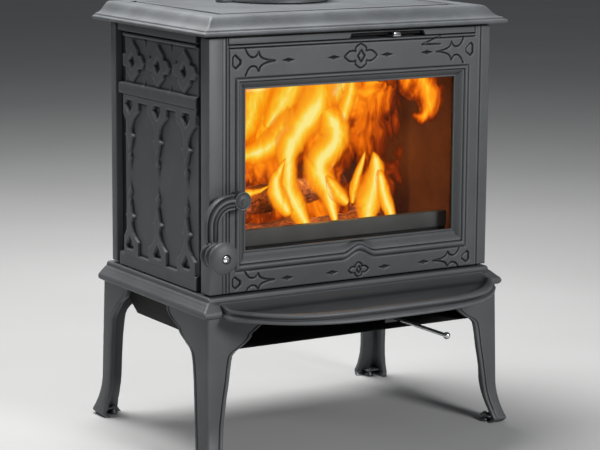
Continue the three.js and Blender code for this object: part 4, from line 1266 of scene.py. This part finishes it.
# Section of the arm from its outer edge to its inner edge: across, and how far it stands before the door.
ARM_SECTION = [
    (11, -14.6), (12, -17), (12, -21), (11.6, -24.2), (10.8, -25.6), (9.9, -25.4), (9.2, -23.4),
    (8.2, -21.4), (6.6, -21.2), (5.4, -22.4), (4.6, -24.6), (3.0, -26), (1.0, -26), (-0.6, -24.9),
    (-1.4, -22.4), (-2.2, -21), (-3.0, -22.6), (-3.8, -24.8), (-5.0, -25.6), (-6.2, -24.8), (-6.8, -22.8),
    (-7.5, -22.2), (-8.3, -23.4), (-9.2, -25.2), (-10.4, -25.4), (-11.6, -24), (-12, -20.5), (-12, -17),
    (-11, -14.6), (-9, -14), (9, -14),
]
# How the arm narrows to its round end: height above the knob, and share of its width.
ARM_END = [(24, 1.0), (20, 0.94), (16.5, 0.8), (14, 0.6), (12.6, 0.35), (12, 0.1)]


def make_arm():
    bend = (KNOB_X + ARM_BEND, PIVOT[1] - ARM_BEND)
    path = [(PIVOT[0] - 14.4, PIVOT[1], 1.0), (PIVOT[0] - 17, PIVOT[1], 1.0)]
    path += [(x, z, 1.0) for x, z in arc(bend, ARM_BEND, 90, 180, 20)]
    path += [(KNOB_X, KNOB_Z + rise, share) for rise, share in ARM_END]
    loops = []
    for i, (x, z, share) in enumerate(path):
        nx, nz, _ = normal_at(path, i)
        loops.append([(x + nx * share * u, y, z + nz * share * u) for u, y in ARM_SECTION])
    collar = smooth_line([
        (0, -30), (14.6, -30), (15, -26.6), (16, -25.4), (18.6, -24.6), (19.8, -22.4), (19, -19.8),
        (16.6, -17.4), (13, -15.4), (0, -15),
    ], 2)
    shape = merge(loft(loops), lathe(collar, (KNOB_X, 0, KNOB_Z), "y"))
    piece("handle_arm_casting", shape, iron, "handle", ["handle_arm"], crease=50)


def make_knob():
    back = KNOB[3]
    collars = smooth_line([
        (4.6, back), (15.4, back), (16, back - 2.6), (18, back - 3.4), (19.6, back - 5), (19.6, back - 7.4),
        (18, back - 9), (16.4, back - 10), (16, back - 12), (16.2, back - 15),
    ], 1)
    rear = [(KNOB_R * math.cos(a), KNOB_Y + 9 * math.sin(a)) for a in np.radians(np.linspace(44, 6, 8))]
    dome = [(KNOB_R * math.cos(a), KNOB_Y - 9.85 * math.sin(a)) for a in np.radians(np.linspace(0, 71, 15))]
    bore = [(7.2, KNOB_Y - 8.6), (7.0, KNOB_Y - 3), (4.6, KNOB_Y - 3)]
    shape = lathe(collars + rear + dome + bore, (KNOB_X, 0, KNOB_Z), "y", 96)
    piece("handle_knob_fine", shape, iron, "handle", ["handle_knob"], 50)
    screw = smooth_line([
        (0, -18), (3, -18), (3, KNOB_Y - 3.3), (6.3, KNOB_Y - 3.3), (6.4, KNOB_Y - 6), (5.2, KNOB_Y - 8.4),
        (3.2, KNOB_Y - 8.8), (2.8, KNOB_Y - 6.5), (0, KNOB_Y - 6.3),
    ], 1)
    turned_piece("knob_screw", screw, (KNOB_X, 0, KNOB_Z), "y", 48, bright, "handle")


def make_hub():
    line = smooth_line([
        (5.4, -4), (12.6, -4), (13.6, -5.4), (13.6, -20.4), (14.2, -21.4), (14.2, -23.6), (13.2, -24.6),
        (12.2, -24.2), (11.4, -23.8), (10.4, -25.2), (7.6, -27.2), (4.2, -28.4), (0, -28.8),
    ], 2)
    hub = lathe([(0, -4)] + [tuple(p) for p in line], (PIVOT[0], 0, PIVOT[1]), "y", 64)
    piece("handle_hub_fine", hub, iron, "handle", ["handle_hub"], 50)
    shaft = [(0, SHAFT[2]), (5, SHAFT[2]), (5, SHAFT[3] - 0.8), (4.2, SHAFT[3]), (0, SHAFT[3])]
    turned_piece("handle_shaft", shaft, (PIVOT[0], 0, PIVOT[1]), "y", 32, dark_steel, "handle")
    detailed("latch_cam", 0.6, dark_steel, "handle")


make_arm()
make_knob()
make_hub()

# ---------------------------------------------------------------- fire: logs, embers and flames

def log_shape(x0, x1, y, z, radius, turn, seed):
    """A split log along X, with a ragged surface and broken ends."""
    loops = []
    rings, sides = 46, 40
    for i in range(rings + 1):
        t = i / rings
        x = x0 + (x1 - x0) * t
        ends = min(1.0, (min(t, 1 - t) * rings + 0.6) / 2.4) ** 0.5
        loop = []
        for k in range(sides):
            a = 2 * math.pi * k / sides
            way = Vector((x * 0.02, math.cos(a) * 0.9 + seed, math.sin(a) * 0.9))
            rough = noise.noise(way * 1.6) * 0.18 + noise.noise(way * 5.2) * 0.09
            split = 0.16 * max(0.0, math.cos(a - 1.0 - 0.2 * seed)) ** 3
            r = radius * (0.96 + rough - split) * (0.35 + 0.65 * ends)
            loop.append((x, r * math.cos(a), r * math.sin(a)))
        loops.append(loop)
    points, faces = loft(loops)
    middle = (x0 + x1) / 2
    dx = points[:, 0] - middle
    points[:, 0] = middle + dx * math.cos(turn) - points[:, 1] * math.sin(turn)
    points[:, 1] = y + dx * math.sin(turn) + points[:, 1] * math.cos(turn)
    points[:, 2] += z
    return points, faces


for node, turn, seed in (
    ("firewood_log_front", 0.05, 1), ("firewood_log_back", -0.08, 2), ("firewood_log_top", 0.35, 3),
):
    x0, x1, _, _, z0, z1 = span(node)
    x, y, z = centre_of(node)
    half = (x1 - x0) / math.cos(turn) * 0.95 / 2
    radius = (z1 - z0) / 2 * 1.02
    shape = log_shape(x - half, x + half, y, z, radius, turn, seed)
    piece(node + "_charred", shape, log_bark, "stove", [node], crease=70)


def chunk(rng, x, y, z, size):
    edit = bmesh.new()
    bmesh.ops.create_icosphere(edit, subdivisions=2, radius=1.0)
    stretch = [rng.uniform(0.6, 1.5), rng.uniform(0.6, 1.2), rng.uniform(0.45, 0.9)]
    turn = Matrix.Rotation(rng.uniform(0, 6.3), 3, "Z")
    shift = Vector((rng.uniform(-9, 9), rng.uniform(-9, 9), rng.uniform(-9, 9)))
    for v in edit.verts:
        rough = 1 + 0.5 * noise.noise(v.co * 1.4 + shift) + 0.2 * noise.noise(v.co * 4 + shift)
        v.co = turn @ Vector([v.co[i] * stretch[i] * size * rough for i in range(3)]) + Vector((x, y, z))
    return taken(edit)


def make_embers():
    rng = random.Random(7)
    chunks = []
    for _ in range(150):
        x = rng.uniform(-196, 196)
        y = rng.uniform(64, 262)
        size = rng.uniform(5, 13)
        heap = 26 * math.exp(-((x + 20) / 120) ** 2 - ((y - 130) / 80) ** 2)
        chunks.append(chunk(rng, x, y, 292 + size * 0.35 + rng.uniform(0, 1) * heap, size))
    piece("ember_bed", merge(*chunks), ember, "stove", crease=80)


make_embers()


# How far the line of sight through the window runs sideways and up, for one unit of depth behind it.
SIGHT_ACROSS, SIGHT_UP = 0.615, -0.212


def lit_piece(name, shape, heat, material):
    """A piece of fire, with the heat of each of its points."""
    points, faces = shape
    mesh = bpy.data.meshes.new(name)
    mesh.from_pydata([tuple(at(*p)) for p in points], [], faces)
    attribute = mesh.attributes.new("warmth", "FLOAT", "POINT")
    attribute.data.foreach_set("value", np.array(heat, np.float32))
    mesh.shade_smooth()
    mesh.materials.append(material)
    obj = add_object(name, mesh)
    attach(obj, "stove")


# How much wider a tongue of fire is made than its line says, for its soft border.
HALO = 1.4


def flame_ribbon(name, path, depth, hot, material=flame):
    """A tongue of fire, a thin closed lens. path is (x, z, width) where it is seen in the window."""
    rings, across = 48, 16
    smooth = smooth_line([(x + SIGHT_ACROSS * depth, z + SIGHT_UP * depth, w) for x, z, w in path], 4)
    t = np.linspace(0, 1, rings + 1)
    share = np.linspace(0, 1, len(smooth))
    place = np.stack([np.interp(t, share, [p[k] for p in smooth]) for k in range(3)], 1)
    heat = []
    loops = []
    for i, (x, z, width) in enumerate(place):
        nx, nz, _ = normal_at(place, i)
        half = max(width * HALO / 2, 0.3)
        flutter = 3 * noise.noise(Vector((x * 0.03, z * 0.025, depth)))
        ends = hot * min(1.0, 4 * t[i] + 0.45, 5 * (1 - t[i]))
        loop = []
        for k in range(2 * across):
            turn = math.pi * k / across
            u = math.cos(turn)
            loop.append((x + nx * u * half, depth + flutter + math.sin(turn) * half * 0.2, z + nz * u * half))
            heat.append(min(1.0, 1.06 * (1 - abs(u)) ** 1.15) * ends)
        loops.append(loop)
    lit_piece(name, loft(loops), heat, material)


# Where the glow behind the flames is hot: centre and half size in the window, and how hot.
GLOW = [
    (-175, 520, 75, 105, 0.75), (-120, 580, 95, 60, 0.75), (-45, 575, 70, 62, 0.8), (-150, 450, 60, 40, 0.5),
    (-55, 500, 40, 70, 0.55), (25, 560, 70, 55, 0.62), (25, 500, 52, 60, 0.45), (75, 545, 60, 50, 0.36),
    (-150, 385, 70, 50, 0.30), (-60, 400, 55, 70, 0.52), (40, 390, 52, 60, 0.40), (-100, 360, 120, 40, 0.3),
]


def make_glow():
    """A thin hanging sheet of hot smoke behind the flames."""
    depth, thick, step = 172.0, 2.0, 7.0
    x_lines = np.arange(-236, 104, step)
    z_lines = np.arange(330, 632, step)
    x, z = np.meshgrid(x_lines, z_lines, indexing="ij")
    heat = np.zeros(x.shape)
    for cx, cz, wide, tall, hot in GLOW:
        heat = np.maximum(heat, hot * np.exp(-((x - cx) / wide) ** 2 * 1.1 - ((z - cz) / tall) ** 2 * 1.1))
    edge = np.minimum.reduce([x - x_lines[0], x_lines[-1] - x, z - z_lines[0], z_lines[-1] - z])
    heat = heat * np.clip(edge / 24, 0, 1)
    wave = np.vectorize(lambda a, b: 9 * noise.noise(Vector((a * 0.016, b * 0.013, 4.0))))(x, z)
    rows, columns = x.shape
    points = []
    for side in (-thick / 2, thick / 2):
        layer = np.stack([x + SIGHT_ACROSS * depth, depth + wave + side, z + SIGHT_UP * depth], 2)
        points.append(layer.reshape(-1, 3))
    faces = []
    total = rows * columns
    for i in range(rows - 1):
        for j in range(columns - 1):
            ring = (i * columns + j, (i + 1) * columns + j, (i + 1) * columns + j + 1, i * columns + j + 1)
            faces.append(ring)
            faces.append(tuple(total + n for n in ring[::-1]))
    border = [i * columns for i in range(rows)] + [(rows - 1) * columns + j for j in range(1, columns)]
    border += [i * columns + columns - 1 for i in range(rows - 2, -1, -1)]
    border += list(range(columns - 2, 0, -1))
    for a, b in zip(border, border[1:] + border[:1]):
        faces.append((b, a, total + a, total + b))
    lit_piece("fire_glow", (np.vstack(points), faces), np.tile(heat.reshape(-1), 2), flame_haze)


# Each tongue: its depth in the firebox, how hot it is, and its line.
FLAMES = [
    ("flame_left_main", 70, 1.0, [
        (-72, 330, 5), (-88, 356, 18), (-106, 384, 34), (-122, 410, 34), (-119, 437, 24), (-124, 460, 30),
        (-118, 482, 44), (-100, 507, 48), (-78, 530, 48), (-66, 556, 56), (-60, 596, 64),
    ]),
    ("flame_left_lobe", 60, 0.95, [
        (-116, 372, 16), (-136, 396, 30), (-146, 420, 24), (-135, 442, 12), (-124, 460, 2),
    ]),
    ("flame_left_sweep", 84, 0.85, [
        (-230, 468, 20), (-180, 472, 28), (-150, 483, 36), (-128, 506, 40), (-108, 534, 26),
    ]),
    ("flame_left_rise", 94, 0.75, [(-222, 480, 24), (-200, 512, 34), (-184, 545, 44), (-172, 600, 56)]),
    ("flame_left_crown", 100, 0.8, [(-160, 512, 10), (-142, 540, 44), (-122, 568, 56), (-104, 602, 60)]),
    ("flame_middle", 66, 1.0, [
        (-26, 334, 3), (-34, 360, 11), (-43, 386, 22), (-46, 408, 34), (-64, 430, 40), (-68, 450, 42),
        (-48, 468, 42), (-32, 487, 46), (-38, 508, 44), (-52, 530, 28), (-60, 548, 5),
    ]),
    ("flame_middle_foot", 60, 0.8, [(-10, 380, 10), (-22, 392, 24), (-36, 408, 22), (-50, 428, 6)]),
    ("flame_middle_crown", 90, 0.85, [(-74, 545, 10), (-46, 556, 44), (-20, 572, 50), (-6, 600, 46)]),
    ("flame_streak", 82, 0.9, [
        (-46, 432, 3), (-34, 455, 12), (-27, 480, 16), (-22, 505, 17), (-16, 530, 22), (-8, 556, 26),
        (-2, 600, 30),
    ]),
    ("flame_right_main", 66, 1.0, [
        (24, 334, 10), (28, 358, 30), (30, 384, 46), (38, 408, 36), (44, 428, 28), (42, 446, 18),
        (38, 460, 3),
    ]),
    ("flame_right_leg", 60, 0.95, [(86, 336, 5), (73, 356, 16), (60, 382, 22), (53, 408, 20), (50, 430, 8)]),
    ("flame_right_tongue", 74, 0.85, [(0, 380, 6), (2, 398, 16), (8, 420, 14), (16, 444, 9), (24, 462, 2)]),
    ("flame_low_left", 62, 0.8, [(-224, 424, 12), (-196, 410, 14), (-172, 412, 8), (-152, 420, 2)]),
]
make_glow()
for name, depth, hot, path in FLAMES:
    flame_ribbon(name, path, depth, hot)
flame_ribbon("smoke_curl", [
    (20, 604, 30), (64, 592, 40), (100, 584, 52), (130, 568, 58), (146, 544, 46), (142, 520, 36),
    (128, 508, 20), (112, 514, 6),
], 58, 0.72, flame_haze)

# ---------------------------------------------------------------- camera, light and floor

AZIMUTH, TILT, ROLL = math.radians(31.58), math.radians(10.24), math.radians(0.395)
CAMERA_AT = at(-1797.8, -2766.6, 940.1)
LENS = 129.86
FLOOR_HALF = 30.0
LAMP_TARGET = (0, 150, 400)
# Each lamp: its place in the drawing, its width in metres and its power in watts.
LAMPS = [
    ("key", (450, -2600, 1500), 0.9, 62), ("top", (-300, 900, 2600), 1.6, 122),
    ("left", (-2600, 1500, 1700), 0.7, 9),
]
FIRE_PLACE, FIRE_POWER, FIRE_SIZE, FIRE_COLOUR = (30, 170, 400), 2.5, 0.05, (1, 0.42, 0.1)


def make_camera():
    ahead = Vector((math.sin(AZIMUTH) * math.cos(TILT), math.cos(AZIMUTH) * math.cos(TILT), -math.sin(TILT)))
    right = Vector((math.cos(AZIMUTH), -math.sin(AZIMUTH), 0))
    up = right.cross(ahead)
    side = right * math.cos(ROLL) + up * math.sin(ROLL)
    top = up * math.cos(ROLL) - right * math.sin(ROLL)
    data = bpy.data.cameras.new("camera")
    data.lens = LENS
    data.sensor_width = 36
    data.clip_end = 100
    camera = add_object("camera", data)
    camera.matrix_world = Matrix((
        (side.x, top.x, -ahead.x, CAMERA_AT.x), (side.y, top.y, -ahead.y, CAMERA_AT.y),
        (side.z, top.z, -ahead.z, CAMERA_AT.z), (0, 0, 0, 1),
    ))
    bpy.context.scene.camera = camera


def area_light(name, place, target, size, power):
    data = bpy.data.lights.new(name, "AREA")
    data.shape = "DISK"
    data.size = size
    data.energy = power
    light = add_object(name, data)
    light.location = place
    light.rotation_mode = "QUATERNION"
    light.rotation_quaternion = (Vector(target) - Vector(place)).to_track_quat("-Z", "Y")


def make_stage():
    material, tree, shader = new_material("studio_floor")
    coordinates = place_coordinates(tree)
    cloud = noise_field(tree, coordinates, 1.2, 2.0)
    stops = [(0.3, (0.40, 0.40, 0.395)), (0.7, (0.43, 0.43, 0.425))]
    tree.links.new(colour_ramp(tree, cloud, stops), shader.inputs["Base Color"])
    shader.inputs["Roughness"].default_value = 0.85
    mesh = bpy.data.meshes.new("studio_floor")
    corners = [(-1, -1), (1, -1), (1, 1), (-1, 1)]
    mesh.from_pydata([(FLOOR_HALF * x, FLOOR_HALF * y, 0) for x, y in corners], [], [(0, 1, 2, 3)])
    mesh.materials.append(material)
    floor = add_object("studio_floor", mesh)
    world = bpy.data.worlds.new("studio")
    world.use_nodes = True
    world.node_tree.nodes["Background"].inputs["Color"].default_value = (0.9, 0.93, 1.0, 1)
    world.node_tree.nodes["Background"].inputs["Strength"].default_value = 0.12
    bpy.context.scene.world = world
    for name, place, size, power in LAMPS:
        area_light(name, at(*place), at(*LAMP_TARGET), size, power)
    data = bpy.data.lights.new("fire_light", "POINT")
    data.energy = FIRE_POWER
    data.shadow_soft_size = FIRE_SIZE
    data.color = FIRE_COLOUR
    add_object("fire_light", data).location = at(*FIRE_PLACE)


make_camera()
make_stage()
bpy.context.scene.view_settings.view_transform = "Standard"
